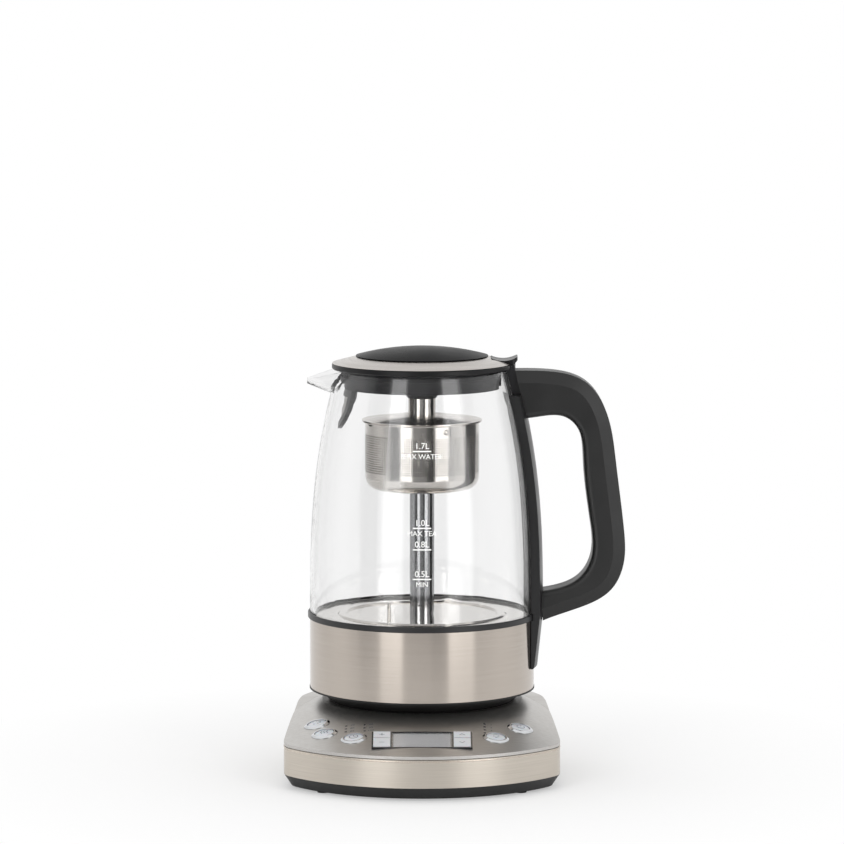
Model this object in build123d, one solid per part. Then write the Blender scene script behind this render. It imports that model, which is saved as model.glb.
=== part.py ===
from build123d import *
import math
import os

# Electric tea maker: a glass jug with a motor-lifted infuser, standing on a cordless base with a sloping
# control panel. Millimetres, +Z up. The origin is the jug's axis where it meets the table; the panel faces
# -Y, the handle points to +X and the spout to -X. The base is drawn from the table. Everything that stands
# on its platform is drawn in heights above the jug's foot, and set on the platform when it is written.

# ---------------------------------------------------------------- driving dimensions

# Base casing, heights above the table
PLATFORM_Z = 45.0  # flat round seat of the jug
SEAT_MARGIN = 6.0  # flat seat around the jug's foot ring
EDGE_Z = 29.7  # front edge of the top plate
DECK_Z = 42.5  # top plate behind the seat
DECK_BREAK_Y = 22.0  # where the deck starts to fall towards the front
DECK_SLOPE = 7.0  # degrees
BACK_R = 84.0  # round back of the plan outline
SIDE_FLARE = 4.3  # degrees that each side leans outwards towards the front
FRONT_REACH = 136.0  # axis to the middle of the front edge
FRONT_R = 108.0  # bow of the front edge
CORNER_R = 20.0
TOP_WALL = 2.0
SIDE_BAND_WALL = 1.0
SHADOW_GAP = 0.5  # dark line between the top plate and the side band
SHELL_FIT = 0.3  # clearance between nested casing walls
LOCATING_WALL = 2.0  # lips that centre one casing part in the next
TOP_SKIRT_Z = 25.5  # lower edge of the top plate's locating lip
COVER_LIP_Z = 11.5  # upper edge of the bottom cover's locating lip
COVER_TOP_Z = 9.0  # the side band stands on the bottom cover here
COVER_INSET = 5.0  # how far the bottom cover's side slopes in
COVER_FLOOR = 2.0
FOOT_DROP = 1.5  # rubber feet stand this far below the bottom cover
FOOT_R = 4.0
FOOT_SEAT = 1.0
FRONT_FOOT_X = 64.0
FRONT_FOOT_SETBACK = 36.0  # every set-back is measured from the front edge's middle
REAR_FOOT_INSET = 32.0  # every inset is measured inwards from the round back's radius

# Casing screws and the posts they run in
SCREW_R = 1.45
SCREW_BITE = 0.05  # radial clearance of a screw in its pilot hole
SCREW_HEAD_R = 2.8
SCREW_HEAD_H = 1.8
HEAD_POCKET_FIT = 0.4
POST_R = 4.2
POST_TOP_Z = 16.0
PILOT_DEPTH = 11.0
BASE_SCREW_LENGTH = 20.0
REAR_POST_INSET_X = 29.0
REAR_POST_INSET_Y = 39.0
FRONT_POST_INSET = 12.0
FRONT_POST_SETBACK = 91.0

# Cord outlet at the back
CORD_BORE_R = 3.6
GLAND_R = 5.0
GLAND_FLANGE_R = 6.0
GLAND_FLANGE_T = 1.5
GLAND_LENGTH = 13.5
GLAND_Z = 18.5
GLAND_FIT = 0.1

# Control board and what stands on it
BOARD_Z = 18.0
BOARD_T = 1.6
BOARD_FRONT_SETBACK = 14.0
BOARD_REAR_SETBACK = 76.0
BOARD_MARGIN = 5.0
STANDOFF_R = 2.5
REAR_STANDOFF_INSET = 29.0
REAR_STANDOFF_SETBACK = 66.0
FRONT_STANDOFF_INSET = 39.0
FRONT_STANDOFF_SETBACK = 24.0
SWITCH_SIDE = 6.0
SWITCH_BODY_H = 3.0
PLUNGER_R = 1.5
PLUNGER_H = 0.9
SWITCH_POST_R = 2.6
KEY_TRAVEL = 0.8  # of every button and key
SWITCH_SLACK = 0.15

# Round buttons, from the left: two at the left side, one on each side of the frame, one at the right side
REAR_LEFT_BUTTON_INSET = 15.0
REAR_LEFT_BUTTON_SETBACK = 72.0
LEFT_BUTTON_INSET = 20.3
LEFT_BUTTON_SETBACK = 51.2
LEFT_FRAME_BUTTON_GAP = 11.8  # out from the frame's side
LEFT_FRAME_BUTTON_SETBACK = 36.0
RIGHT_FRAME_BUTTON_GAP = 15.5
RIGHT_FRAME_BUTTON_SETBACK = 38.0
RIGHT_BUTTON_INSET = 19.7
RIGHT_BUTTON_SETBACK = 61.4
CAP_R = 6.15
CAP_EDGE_H = 0.7  # cap edge above the panel
CAP_DOME_H = 0.9
CAP_DEPTH = 3.0  # cap below the panel
CAP_FIT = 0.3
BEZEL_R = 8.6
BEZEL_H = 1.2
BEZEL_SEAT = 0.5  # bezel sunk in the top plate
BEZEL_WALL = 0.8
BEZEL_DEPTH = 5.0
STEM_R = 2.2
STEM_LENGTH = 2.5

# Display and rectangular keys, on one flat frame in the middle of the panel
FRAME_SETBACK = 28.0
FRAME_SINK = 0.4
FRAME_RISE = 0.5
FRAME_DEPTH = 3.0
FRAME_RIB = 0.8
FRAME_FIT = 0.1
DISPLAY_W = 39.0
DISPLAY_D = 25.0
KEY_W = 11.4
REAR_KEY_D = 10.2
KEY_FIT = 0.2
KEY_RISE = 1.0
KEY_DEPTH = 2.0
KEY_STEM_R = 1.5
KEY_STEM_LENGTH = 1.4
WINDOW_T = 1.2
WINDOW_SINK = 0.1
WINDOW_FIT = 0.05
MODULE_T = 3.6
MODULE_INSET = 1.0
MODULE_WALL = 1.5

# Indicator lights: three columns of dots, each placed by its rear dot
LEFT_LED_INSET = 34.3
LEFT_LED_SETBACK = 59.5
MIDDLE_LED_GAP = 5.0  # out from the frame's side
MIDDLE_LED_SETBACK = 57.3
RIGHT_LED_GAP = 8.5
RIGHT_LED_SETBACK = 60.0
LEFT_LEDS = 3
RIGHT_LEDS = 4
LED_PITCH = 5.1
LED_R = 0.9
LED_FIT = 0.05
LED_DEPTH = 6.0
LED_RISE = 0.15

# Connector on the base, heights above the platform
DISH_TOP_R = 31.0
DISH_H = 9.3
DISH_LIP = 0.6
DISH_WALL = 2.0
DISH_BRIM = 4.3  # the dish's edge beyond its spigot
DISH_SPIGOT_DEPTH = 5.0
DISH_SPIGOT_FIT = 0.3
PLUG_COLLAR_R = 19.5
PLUG_COLLAR_H = 5.7
PLUG_NECK_R = 15.4
PLUG_NECK_H = 5.0
PLUG_HEAD_R = 19.65
PLUG_HEAD_WIDE_Z = 21.8
PLUG_HEAD_RISE = 0.6  # slope of the head's underside
PLUG_TOP_Z = 24.1
PLUG_TOP_R = 14.6
PLUG_CROWN_W = 2.6  # rounded edge of the head's top
PLUG_CROWN_H = 0.7
PLUG_CHAMFER = 1.0
PLUG_SPIGOT_R = 16.4
PLUG_SPIGOT_DEPTH = 6.0
PLUG_SPIGOT_FIT = 0.1
PLUG_WINDOWS = 6
PLUG_WINDOW_W = 8.0
PLUG_WINDOW_H = 3.6
PLUG_WINDOW_SILL = 0.8
PLUG_WINDOW_DEPTH = 1.5
SLOT_RADII = [12.4, 7.4]  # middles of the two ring slots
SLOT_W = 2.0
SLOT_DEPTH = 10.0
PIN_HOLE_R = 2.4
CONTACT_T = 0.3
CONTACT_H = 7.5
BLADE_T = 0.8
BLADE_GAP = 0.3
BLADE_DEPTH = 8.0

# Connector half under the jug
SOCKET_FIT = 0.6
SOCKET_WALL = 3.2
SOCKET_ROOF = 2.4
SOCKET_FLANGE_R = 27.0
SOCKET_FLANGE_T = 2.0
SOCKET_RUN = 0.6  # clearance in the jug's base cover

# Jug foot and band, heights above the jug's foot
BODY_R = 75.0  # steel band and foot of the glass
FOOT_RING_INSET = 14.0  # inside the band's face, like the skirt's and the collar's
FOOT_RING_W = 8.5
SKIRT_INSET = 8.0
SKIRT_H = 8.7
SKIRT_BULGE = 1.2
SKIRT_LIP_PROUD = 0.3
SKIRT_LIP_T = 1.0
BASE_COVER_WALL = 2.0
RECESS_GAP = 1.5  # jug's underside above the dish
RECESS_SIDE_GAP = 2.2
JUG_BAND_WALL = 0.8
JUG_BAND_H = 46.7
COLLAR_PROUD = 1.3
COLLAR_LEDGE_INSET = 5.0
COLLAR_FLANGE_T = 1.0
COLLAR_H = 4.0
COLLAR_ROUND = 0.4
COLLAR_FIT = 0.15
PLATE_T = 1.0
PLATE_RIDGE_INSET = 22.0
PLATE_RIDGE_W = 6.0
PLATE_RIDGE_H = 1.1
PLATE_RIDGE_OFFSET = 0.4  # pressed sheet's outer face beyond its inner face on the ridge's slopes
SEAL_T = 1.0
ELEMENT_RIDGE_GAP = 9.5  # middle of the ring heater, inside the ridge's middle
ELEMENT_W = 7.0
ELEMENT_H = 7.0
ELEMENT_PIN_R = 1.5
ELEMENT_PIN_LENGTH = 9.0
PROBE_X = -22.0
PROBE_Y = -6.0
PROBE_R = 1.2
PROBE_H = 8.0
PROBE_NUT_R = 3.2
PROBE_NUT_H = 3.4
PROBE_FIT = 0.05

# Glass
GLASS_H = 163.3
GLASS_WALL = 3.3
MOUTH_R = 56.3
SHOULDER_POWER = 2.7  # the wall draws in by the height's share to this power
SPOUT_REACH = 20.0  # tip beyond the mouth
SPOUT_HALF_W = 29.0
SPOUT_DROP = 21.0  # how far below the rim the flare starts
SPOUT_TIP_HALF_W = 7.0
SPOUT_TIP_DROP = 6.5  # upper edge of the tip below the rim
SPOUT_TIP_DEPTH = 3.4
SPOUT_WALL = 2.4

# Lift column in the jug's middle
TUBE_R = 8.2
TUBE_WALL = 2.05
ROD_STANDING = 66.4  # raised rod's tip above the tube
TUBE_FLANGE_R = 12.0
TUBE_FLANGE_T = 2.0
TUBE_FIT = 0.05
BUSH_H = 4.0
BUSH_SPIGOT_H = 3.5
ROD_R = 4.8
ROD_BORE_R = 2.8
ROD_TIP_DROP = 17.6  # raised rod's tip below the glass rim
ROD_CLOSED_H = 4.0
RUNNING_FIT = 0.05
SCREW_SPINDLE_R = 2.3
SPINDLE_STUB_R = 2.0
SPINDLE_STUB_LENGTH = 5.0
SPINDLE_END_PLAY = 0.2
SPINDLE_OVERRUN = 1.0
NUT_DROP = 10.7  # raised nut's underside below the top of the tube
NUT_H = 6.0
NUT_SOCKET_H = 3.0
NUT_FIT = 0.3
MOTOR_GAP = 1.0
MOTOR_R = 12.0
MOTOR_H = 6.0
GEARBOX_R = 16.0
GEARBOX_H = 12.0

# Infuser basket and cover
INFUSER_HANG = 17.1  # basket rim below the rod's tip
BASKET_R = 38.0
BASKET_WALL = 0.5
BASKET_H = 45.7
BASKET_CORNER_R = 9.0
BASKET_FLANGE_R = 39.5
BASKET_FLANGE_T = 0.8
SLEEVE_R = 8.8  # bore of the basket's middle sleeve
SLEEVE_WALL = 0.6
SLEEVE_RING_R = 10.0
SLEEVE_RING_H = 1.5
COVER_R = 40.0
COVER_FLANGE_T = 0.8
COVER_SHEET = 0.5
SKIRT_FIT = 0.4  # cover skirt in the basket
COVER_SKIRT_H = 9.0
COVER_DOME_H = 4.3
COVER_LANDING = 1.5
BUMP_R = 2.3
BUMP_PROUD = 0.9
BUMP_DROP = 4.5
BUMP_ANGLES = [25.0, 145.0, 265.0]  # from the front, towards the handle
BUMP_SLOT_FIT = 0.4
NECK_R = 9.1
NECK_WALL = 0.45
NECK_H = 10.7
KNOB_FOOT_R = 9.35
KNOB_WAIST_R = 12.65
KNOB_TAPER_H = 4.7
KNOB_R = 16.85
KNOB_H = 5.0
KNOB_ROUND = 1.6
STOP_T = 2.0
STOP_FIT = 0.05

# Lid
LID_GAP = 0.2
LID_OVERHANG = 3.7  # beyond the mouth
LID_RIM_H = 3.9
LID_ROUND = 0.8
STEEL_RING_H = 4.2
STEEL_RING_SHEET = 0.8
STEEL_RING_EDGE = 0.2
STEEL_RING_W = 16.0  # from the lid's edge to the dome
DOME_H = 6.6
DOME_WALL = 2.0
DOME_EDGE_H = 0.8
DOME_SEAT = 1.5
PLUG_FIT = 1.5  # lid plug in the mouth
PLUG_WALL = 3.5
PLUG_H = 13.0
PLUG_ROOF = 2.9
GASKET_TOP_DROP = 4.9
GASKET_H = 4.0
GASKET_GROOVE = 1.3
GASKET_FIT = 0.2
LID_SCREW_INSET = 14.0  # screws' circle inside the dome's edge
LID_SCREWS = 3
LID_SCREW_LENGTH = 10.0
LID_BOSS_R = 3.6
LID_BOSS_ROOF = 1.0
EAR_OVERHANG = 3.5  # beyond the lid's edge
EAR_ROOT_GAP = 2.0  # root beyond the dome's edge
EAR_HALF_W = 11.0
EAR_TOP = 8.6  # at the tip; this and the next two are above the lid's underside
EAR_SADDLE_TOP = 6.2
EAR_ROOT_TOP = 7.7
EAR_SADDLE_INSET = 3.5  # inside the lid's edge
EAR_TIP_T = 2.4
EAR_TIP_UNDERCUT = 2.5
EAR_CORNER_R = 4.0
EAR_CLEARANCE = 0.4
CLIP_PASSAGE_FIT = 1.0  # lid's notch inside the clip's lug
FILTER_INSET = 0.1  # top of the frame inside the plug's side
FILTER_LEAN = 4.9  # foot of the frame beyond its top
FILTER_T = 2.6
FILTER_DROP = 27.0
FILTER_HALF_W = 24.0
FILTER_SHOULDER_H = 7.0  # the sides are upright down to here, then they round in to the tip
FILTER_BORDER = 4.5
FILTER_MESH_T = 0.4

# Handle
STRAP_GAP = 0.3
STRAP_T = 5.7
STRAP_HALF_W = 20.0
STRAP_TOP_DROP = 16.5  # below the rim
STRAP_FOOT_Z = 22.4
STRAP_FOOT_T = 1.0
STRAP_FOOT_CHAMFER = 1.0
SHELL_HALF_W = 13.0
SHELL_ROUND = 4.0  # at the window's edges
SHELL_BEVEL_W = 8.0  # bevel along the outer edges, in the side's plane
SHELL_BEVEL_DEPTH = 4.0
SHELL_GAP = 0.1
CLIP_HALF_W = 9.0
CLIP_RISE = 3.3
CLIP_LUG_T = 1.7
CLIP_LUG_HALF_W = 6.0
CLIP_LUG_DROP = 11.0
CLIP_LUG_GAP = 0.7
CLIP_NOTCH_FIT = 0.4
HANDLE_SCREW_LENGTH = 13.0
LOWER_HANDLE_SCREW_RISE = 6.6  # above the collar
UPPER_HANDLE_SCREW_DROP = 24.0
CLIP_SCREW_DROP = 9.0
# Outer line of the handle, (outwards from the body's side, up from the rim or from the collar's top)
OUTER_FROM_RIM = [(-14.0, -0.4), (10.7, -1.0), (34.0, -8.3), (46.0, -24.3), (54.0, -61.0)]
OUTER_FROM_COLLAR = [(59.7, 54.7), (60.1, 36.7), (52.0, 16.0), (27.3, 2.0), (4.0, -6.5)]
# Finger opening, the same way; its inner side is the strap
WINDOW_FROM_RIM = [(-16.0, -31.0), (3.8, -31.0), (20.5, -31.6), (26.8, -36.5), (32.5, -61.0)]
WINDOW_FROM_COLLAR = [(37.1, 61.3), (37.6, 36.7), (30.5, 24.0), (9.1, 15.0), (-6.0, 13.0)]

# ---------------------------------------------------------------- levels and fits worked out from them

FLOOR_Z = FOOT_DROP
FLOOR_TOP_Z = FLOOR_Z + COVER_FLOOR
BOARD_TOP_Z = BOARD_Z + BOARD_T

FOOT_RING_R = BODY_R - FOOT_RING_INSET
SKIRT_R = BODY_R - SKIRT_INSET
SKIRT_LIP_R = BODY_R + SKIRT_LIP_PROUD
COLLAR_R = BODY_R + COLLAR_PROUD
COLLAR_IN_R = BODY_R - COLLAR_LEDGE_INSET
PLATE_RIDGE_R = BODY_R - PLATE_RIDGE_INSET
ELEMENT_R = PLATE_RIDGE_R - ELEMENT_RIDGE_GAP
RECESS_R = FOOT_RING_R - FOOT_RING_W
DISH_R = RECESS_R - RECESS_SIDE_GAP
DISH_SPIGOT_R = DISH_R - DISH_BRIM
RIDGE_R = FOOT_RING_R + SEAT_MARGIN

CONE_SHIFT = FRONT_REACH - FRONT_R  # the front edge's centre lies this far in front of the axis
CONE_DROP = PLATFORM_Z - EDGE_Z
CONE_GROWTH = FRONT_R - RIDGE_R
PANEL_SLOPE = math.degrees(math.atan2(CONE_DROP, FRONT_REACH - RIDGE_R))
BIG = 400.0  # larger than the whole appliance, for cutting tools

FRAME_W = DISPLAY_W + 2 * KEY_W + 4 * FRAME_RIB
FRAME_D = DISPLAY_D + 2 * FRAME_RIB
FRONT_KEY_D = DISPLAY_D - REAR_KEY_D - FRAME_RIB
KEY_X = DISPLAY_W / 2 + FRAME_RIB + KEY_W / 2
FRAME_Y = FRAME_SETBACK - FRONT_REACH
BOARD_FRONT_Y = BOARD_FRONT_SETBACK - FRONT_REACH
BOARD_REAR_Y = BOARD_REAR_SETBACK - FRONT_REACH
BUTTON_SPOTS = [
    (REAR_LEFT_BUTTON_INSET - BACK_R, REAR_LEFT_BUTTON_SETBACK - FRONT_REACH),
    (LEFT_BUTTON_INSET - BACK_R, LEFT_BUTTON_SETBACK - FRONT_REACH),
    (-FRAME_W / 2 - LEFT_FRAME_BUTTON_GAP, LEFT_FRAME_BUTTON_SETBACK - FRONT_REACH),
    (FRAME_W / 2 + RIGHT_FRAME_BUTTON_GAP, RIGHT_FRAME_BUTTON_SETBACK - FRONT_REACH),
    (BACK_R - RIGHT_BUTTON_INSET, RIGHT_BUTTON_SETBACK - FRONT_REACH),
]
LED_COLUMNS = [
    (LEFT_LED_INSET - BACK_R, LEFT_LED_SETBACK - FRONT_REACH, LEFT_LEDS),
    (-FRAME_W / 2 - MIDDLE_LED_GAP, MIDDLE_LED_SETBACK - FRONT_REACH, LEFT_LEDS),
    (FRAME_W / 2 + RIGHT_LED_GAP, RIGHT_LED_SETBACK - FRONT_REACH, RIGHT_LEDS),
]

PLUG_COLLAR_TOP = DISH_H + PLUG_COLLAR_H
PLUG_NECK_TOP = PLUG_COLLAR_TOP + PLUG_NECK_H
SLOT_FLOOR = PLUG_TOP_Z - SLOT_DEPTH
SOCKET_CAVITY_R = PLUG_HEAD_R + SOCKET_FIT
SOCKET_CAVITY_TOP = PLUG_TOP_Z + SOCKET_FIT
SOCKET_R = SOCKET_CAVITY_R + SOCKET_WALL
SOCKET_TOP = SOCKET_CAVITY_TOP + SOCKET_ROOF
RECESS_TOP = DISH_H + RECESS_GAP
SOCKET_SEAT = RECESS_TOP + BASE_COVER_WALL

JUG_BAND_TOP = SKIRT_H + JUG_BAND_H
PLATE_BOTTOM = JUG_BAND_TOP + COLLAR_FLANGE_T
PLATE_TOP = PLATE_BOTTOM + PLATE_T
GLASS_FOOT = PLATE_TOP + SEAL_T
RIM_Z = GLASS_FOOT + GLASS_H
COLLAR_TOP_Z = JUG_BAND_TOP + COLLAR_H
MOUTH_IN_R = MOUTH_R - GLASS_WALL
COLLAR_BORE_R = BODY_R + COLLAR_FIT

ROD_TOP_Z = RIM_Z - ROD_TIP_DROP
TUBE_TOP_Z = ROD_TOP_Z - ROD_STANDING
NUT_BOTTOM_Z = TUBE_TOP_Z - NUT_DROP
TUBE_BORE_R = TUBE_R - TUBE_WALL
MOTOR_BOTTOM = SOCKET_TOP + MOTOR_GAP
GEARBOX_BOTTOM = MOTOR_BOTTOM + MOTOR_H
MOTOR_TOP = GEARBOX_BOTTOM + GEARBOX_H
BUSH_TOP = TUBE_TOP_Z + BUSH_H
NUT_TOP = NUT_BOTTOM_Z + NUT_H

BASKET_RIM = ROD_TOP_Z - INFUSER_HANG
BASKET_FOOT = BASKET_RIM - BASKET_H
COVER_SKIRT_R = BASKET_R - BASKET_WALL - SKIRT_FIT
COVER_TOP = BASKET_RIM + COVER_DOME_H
KNOB_FOOT_Z = COVER_TOP + NECK_H
NECK_BORE_R = NECK_R - NECK_WALL
BUMP_Z = BASKET_RIM - BUMP_DROP

LID_R = MOUTH_R + LID_OVERHANG
DOME_R = LID_R - STEEL_RING_W
LID_SCREW_PITCH_R = DOME_R - LID_SCREW_INSET
EAR_REACH = LID_R + EAR_OVERHANG
EAR_ROOT = DOME_R + EAR_ROOT_GAP
LID_SEAT = RIM_Z + LID_GAP
LID_TOP = LID_SEAT + LID_RIM_H
DOME_Z = LID_TOP + STEEL_RING_H
LID_PLUG_R = MOUTH_IN_R - PLUG_FIT
LID_PLUG_BOTTOM = LID_SEAT - PLUG_H
LID_PLUG_ROOF_Z = LID_SEAT - PLUG_ROOF
FILTER_TOP_R = LID_PLUG_R - FILTER_INSET
FILTER_FOOT_R = FILTER_TOP_R + FILTER_LEAN
CLIP_TOP = RIM_Z + CLIP_RISE
CLIP_LUG_OUT_R = MOUTH_IN_R - CLIP_LUG_GAP
CLIP_LUG_IN_R = CLIP_LUG_OUT_R - CLIP_LUG_T
STRAP_TOP_Z = RIM_Z - STRAP_TOP_DROP
STRAP_OUT = STRAP_GAP + STRAP_T


# ---------------------------------------------------------------- helpers


def face_of(points):
    """A flat face inside a closed run of straight lines."""
    return make_face(Polyline(*points, close=True))


def lathe(*points):
    """A solid turned about the jug's axis from a closed outline of (radius, height) points."""
    return turned(face_of(points))


def turned(section):
    """A solid turned about the jug's axis from a drawn half section."""
    return revolve(Plane.XZ * section, Axis.Z)


def post(x, y, radius, low, high):
    """An upright round bar."""
    return Pos(x, y, low) * Cylinder(radius, high - low, align=(Align.CENTER, Align.CENTER, Align.MIN))


def tube(outer, inner, low, high):
    """An upright ring about the jug's axis."""
    return post(0, 0, outer, low, high) - post(0, 0, inner, low, high)


def cap_z(radius, edge, top, at):
    """Height, at a distance from the axis, of a ball's cap that meets its edge height at the given radius."""
    ball = (radius**2 + (top - edge) ** 2) / (2 * (top - edge))
    return top - ball + math.sqrt(ball**2 - at**2)


def block(x0, x1, y0, y1, z0, z1):
    """A box between two corners."""
    return Pos((x0 + x1) / 2, (y0 + y1) / 2, (z0 + z1) / 2) * Box(x1 - x0, y1 - y0, z1 - z0)


def mirrored_pairs(*spots):
    """Each (x, y) and its mirror image across the YZ plane."""
    return [(side * x, y) for x, y in spots for side in (-1, 1)]


def one(part):
    """The part's solids as one compound, for a node of separate like pieces."""
    return Compound(children=list(part))


# ---------------------------------------------------------------- base outline and roof


def base_outline():
    """Plan of the base: a round back, sides that lean outwards and a bowed front with round corners."""
    lean = math.radians(SIDE_FLARE)
    side_x, side_y = BACK_R * math.cos(lean), BACK_R * math.sin(lean)
    far_x = side_x + (side_y + BIG) * math.tan(lean)
    sides = face_of([(-side_x, side_y), (side_x, side_y), (far_x, -BIG), (-far_x, -BIG)])
    front = sides & (Pos(0, -CONE_SHIFT) * Circle(FRONT_R))
    plan = Circle(BACK_R) + front
    corners = plan.vertices().sort_by(Axis.Y)[:2]
    return fillet(corners, CORNER_R)


OUTLINE = base_outline()


def wall(inset, thickness, low, high):
    """An upright wall that follows the outline, its outer face inset from it."""
    outer = offset(OUTLINE, amount=-inset) if inset else OUTLINE
    inner = offset(OUTLINE, amount=-(inset + thickness))
    return Pos(0, 0, low) * (extrude(outer, amount=high - low) - extrude(inner, amount=high - low))


def roof():
    """Everything under the top plate's surface: a slanting cone from the seat's edge to the front edge, and
    the flat deck behind, which falls gently forwards."""
    share = 1.45  # the cone runs on below the front edge, outside the outline
    low_z = PLATFORM_Z - CONE_DROP * share
    low_r = RIDGE_R + CONE_GROWTH * share
    foot = Plane((0, -CONE_SHIFT * share, low_z)) * Circle(low_r)
    seat = Plane((0, 0, PLATFORM_Z)) * Circle(RIDGE_R)
    below = post(0, -CONE_SHIFT * share, low_r, -BIG, low_z)
    fall = (DECK_BREAK_Y + BIG) * math.tan(math.radians(DECK_SLOPE))
    deck = face_of([(BIG, -BIG), (BIG, DECK_Z), (DECK_BREAK_Y, DECK_Z), (-BIG, DECK_Z - fall), (-BIG, -BIG)])
    return loft([foot, seat], ruled=True) + below + extrude(Plane.YZ * deck, amount=BIG, both=True)


ROOF = roof()


def under_roof(piece, drop=0.0):
    """The piece, cut off at the roof lowered by drop."""
    return piece & (Pos(0, 0, -drop) * ROOF)


def panel_share(x, y):
    """How far down the cone a plan point lies: 0 at the seat's edge, 1 at the front edge."""
    a = CONE_SHIFT**2 - CONE_GROWTH**2
    b = 2 * (CONE_SHIFT * y - RIDGE_R * CONE_GROWTH)
    c = x**2 + y**2 - RIDGE_R**2
    return (-b - math.sqrt(b * b - 4 * a * c)) / (2 * a)


def panel_plane(x, y):
    """The plane that touches the panel at a plan point, its normal outwards."""
    share = panel_share(x, y)
    reach = y + CONE_SHIFT * share
    rise = (CONE_GROWTH * (RIDGE_R + CONE_GROWTH * share) - CONE_SHIFT * reach) / CONE_DROP
    return Plane(
        origin=(x, y, PLATFORM_Z - CONE_DROP * share),
        x_dir=(rise, 0, -x),
        z_dir=(x, reach, rise),
    )


def frame_plane():
    """The flat plane of the display frame, a little below the panel's middle line."""
    touching = panel_plane(0, FRAME_Y)
    return touching.offset(-FRAME_SINK)


def along(plane, radius, low, high):
    """A round bar along the plane's normal."""
    return plane * post(0, 0, radius, low, high)


def slab(plane, width, depth, low, high, x=0.0, y=0.0):
    """A box on a plane, between two heights above it."""
    return plane * Pos(x, y, (low + high) / 2) * Box(width, depth, high - low)


# ---------------------------------------------------------------- base casing

BASE_POSTS = mirrored_pairs(
    (BACK_R - REAR_POST_INSET_X, BACK_R - REAR_POST_INSET_Y),
    (BACK_R - FRONT_POST_INSET, FRONT_POST_SETBACK - FRONT_REACH),
)
FEET = mirrored_pairs(
    (BACK_R - REAR_FOOT_INSET, BACK_R - REAR_FOOT_INSET),
    (FRONT_FOOT_X, FRONT_FOOT_SETBACK - FRONT_REACH),
)
STANDOFFS = mirrored_pairs(
    (BACK_R - REAR_STANDOFF_INSET, REAR_STANDOFF_SETBACK - FRONT_REACH),
    (BACK_R - FRONT_STANDOFF_INSET, FRONT_STANDOFF_SETBACK - FRONT_REACH),
)
HEAD_POCKET_R = SCREW_HEAD_R + HEAD_POCKET_FIT
HEAD_SEAT_Z = FLOOR_Z + SCREW_HEAD_H + 2 * HEAD_POCKET_FIT
KEY_PLACES = [
    (side * KEY_X, row_y, row_d)
    for side in (-1, 1)
    for row_y, row_d in (
        ((DISPLAY_D - REAR_KEY_D) / 2, REAR_KEY_D),
        ((FRONT_KEY_D - DISPLAY_D) / 2, FRONT_KEY_D),
    )
]


def led_spots():
    return [(x, y - LED_PITCH * i) for x, y, count in LED_COLUMNS for i in range(count)]


def base_top_plate():
    """Pressed top of the base: seat, deck and panel, with a locating lip and four screw bosses."""
    blank = extrude(OUTLINE, amount=PLATFORM_Z + TOP_WALL)
    plate = under_roof(blank) - under_roof(blank, TOP_WALL)
    lap = TOP_WALL / 2
    plate += under_roof(wall(SIDE_BAND_WALL + SHELL_FIT, LOCATING_WALL, TOP_SKIRT_Z, PLATFORM_Z), lap)
    for x, y in BASE_POSTS:
        plate += under_roof(post(x, y, POST_R, POST_TOP_Z, PLATFORM_Z), lap)
    for x, y in BASE_POSTS:
        plate -= post(x, y, SCREW_R + SCREW_BITE, POST_TOP_Z, POST_TOP_Z + PILOT_DEPTH)
    plate -= post(0, 0, DISH_SPIGOT_R + DISH_SPIGOT_FIT, 0, PLATFORM_Z + TOP_WALL)
    for x, y in BUTTON_SPOTS:
        here = panel_plane(x, y)
        plate -= along(here, BEZEL_R + FRAME_FIT, -BEZEL_SEAT, BEZEL_H)
        plate -= along(here, bezel_barrel_r() + FRAME_FIT, -BEZEL_DEPTH, BEZEL_H)
    slack = 2 * FRAME_FIT
    plate -= slab(frame_plane(), FRAME_W + slack, FRAME_D + slack, -2 * FRAME_DEPTH, FRAME_DEPTH)
    for x, y in led_spots():
        plate -= post(x, y, LED_R + LED_FIT, EDGE_Z - TOP_WALL, PLATFORM_Z)
    return plate


def base_side_band():
    """Brushed steel strip around the base, standing on the bottom cover, with the cord's hole at the back."""
    band = under_roof(wall(0, SIDE_BAND_WALL, COVER_TOP_Z, PLATFORM_Z), TOP_WALL + SHADOW_GAP)
    return band - gland_bar(GLAND_R + GLAND_FIT, BACK_R - 2 * SIDE_BAND_WALL, BACK_R + SIDE_BAND_WALL)


def base_bottom_cover():
    """Black tray with a sloping side, a locating lip, screw posts, standoffs and foot recesses."""
    sole = Pos(0, 0, FLOOR_Z) * offset(OUTLINE, amount=-COVER_INSET)
    brim = Pos(0, 0, COVER_TOP_Z) * OUTLINE
    cover = loft([sole, brim], ruled=True)
    hollow = offset(OUTLINE, amount=-(COVER_INSET + COVER_FLOOR))
    cover -= Pos(0, 0, FLOOR_TOP_Z) * extrude(hollow, amount=COVER_TOP_Z)
    cover += wall(SIDE_BAND_WALL + SHELL_FIT, LOCATING_WALL, COVER_TOP_Z - COVER_FLOOR, COVER_LIP_Z)
    for x, y in BASE_POSTS:
        cover += post(x, y, POST_R, FLOOR_Z, POST_TOP_Z)
    for x, y in STANDOFFS:
        cover += post(x, y, STANDOFF_R, FLOOR_Z, BOARD_Z)
    for x, y in BASE_POSTS:
        cover -= post(x, y, SCREW_R + HEAD_POCKET_FIT, FLOOR_Z, POST_TOP_Z)
        cover -= post(x, y, HEAD_POCKET_R, FLOOR_Z, HEAD_SEAT_Z)
    for x, y in FEET:
        cover -= post(x, y, FOOT_R, FLOOR_Z, FLOOR_Z + FOOT_SEAT)
    return cover


def base_feet():
    """Four rubber feet, each glued into its recess."""
    return one(post(x, y, FOOT_R, 0, FOOT_DROP + FOOT_SEAT) for x, y in FEET)


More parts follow.
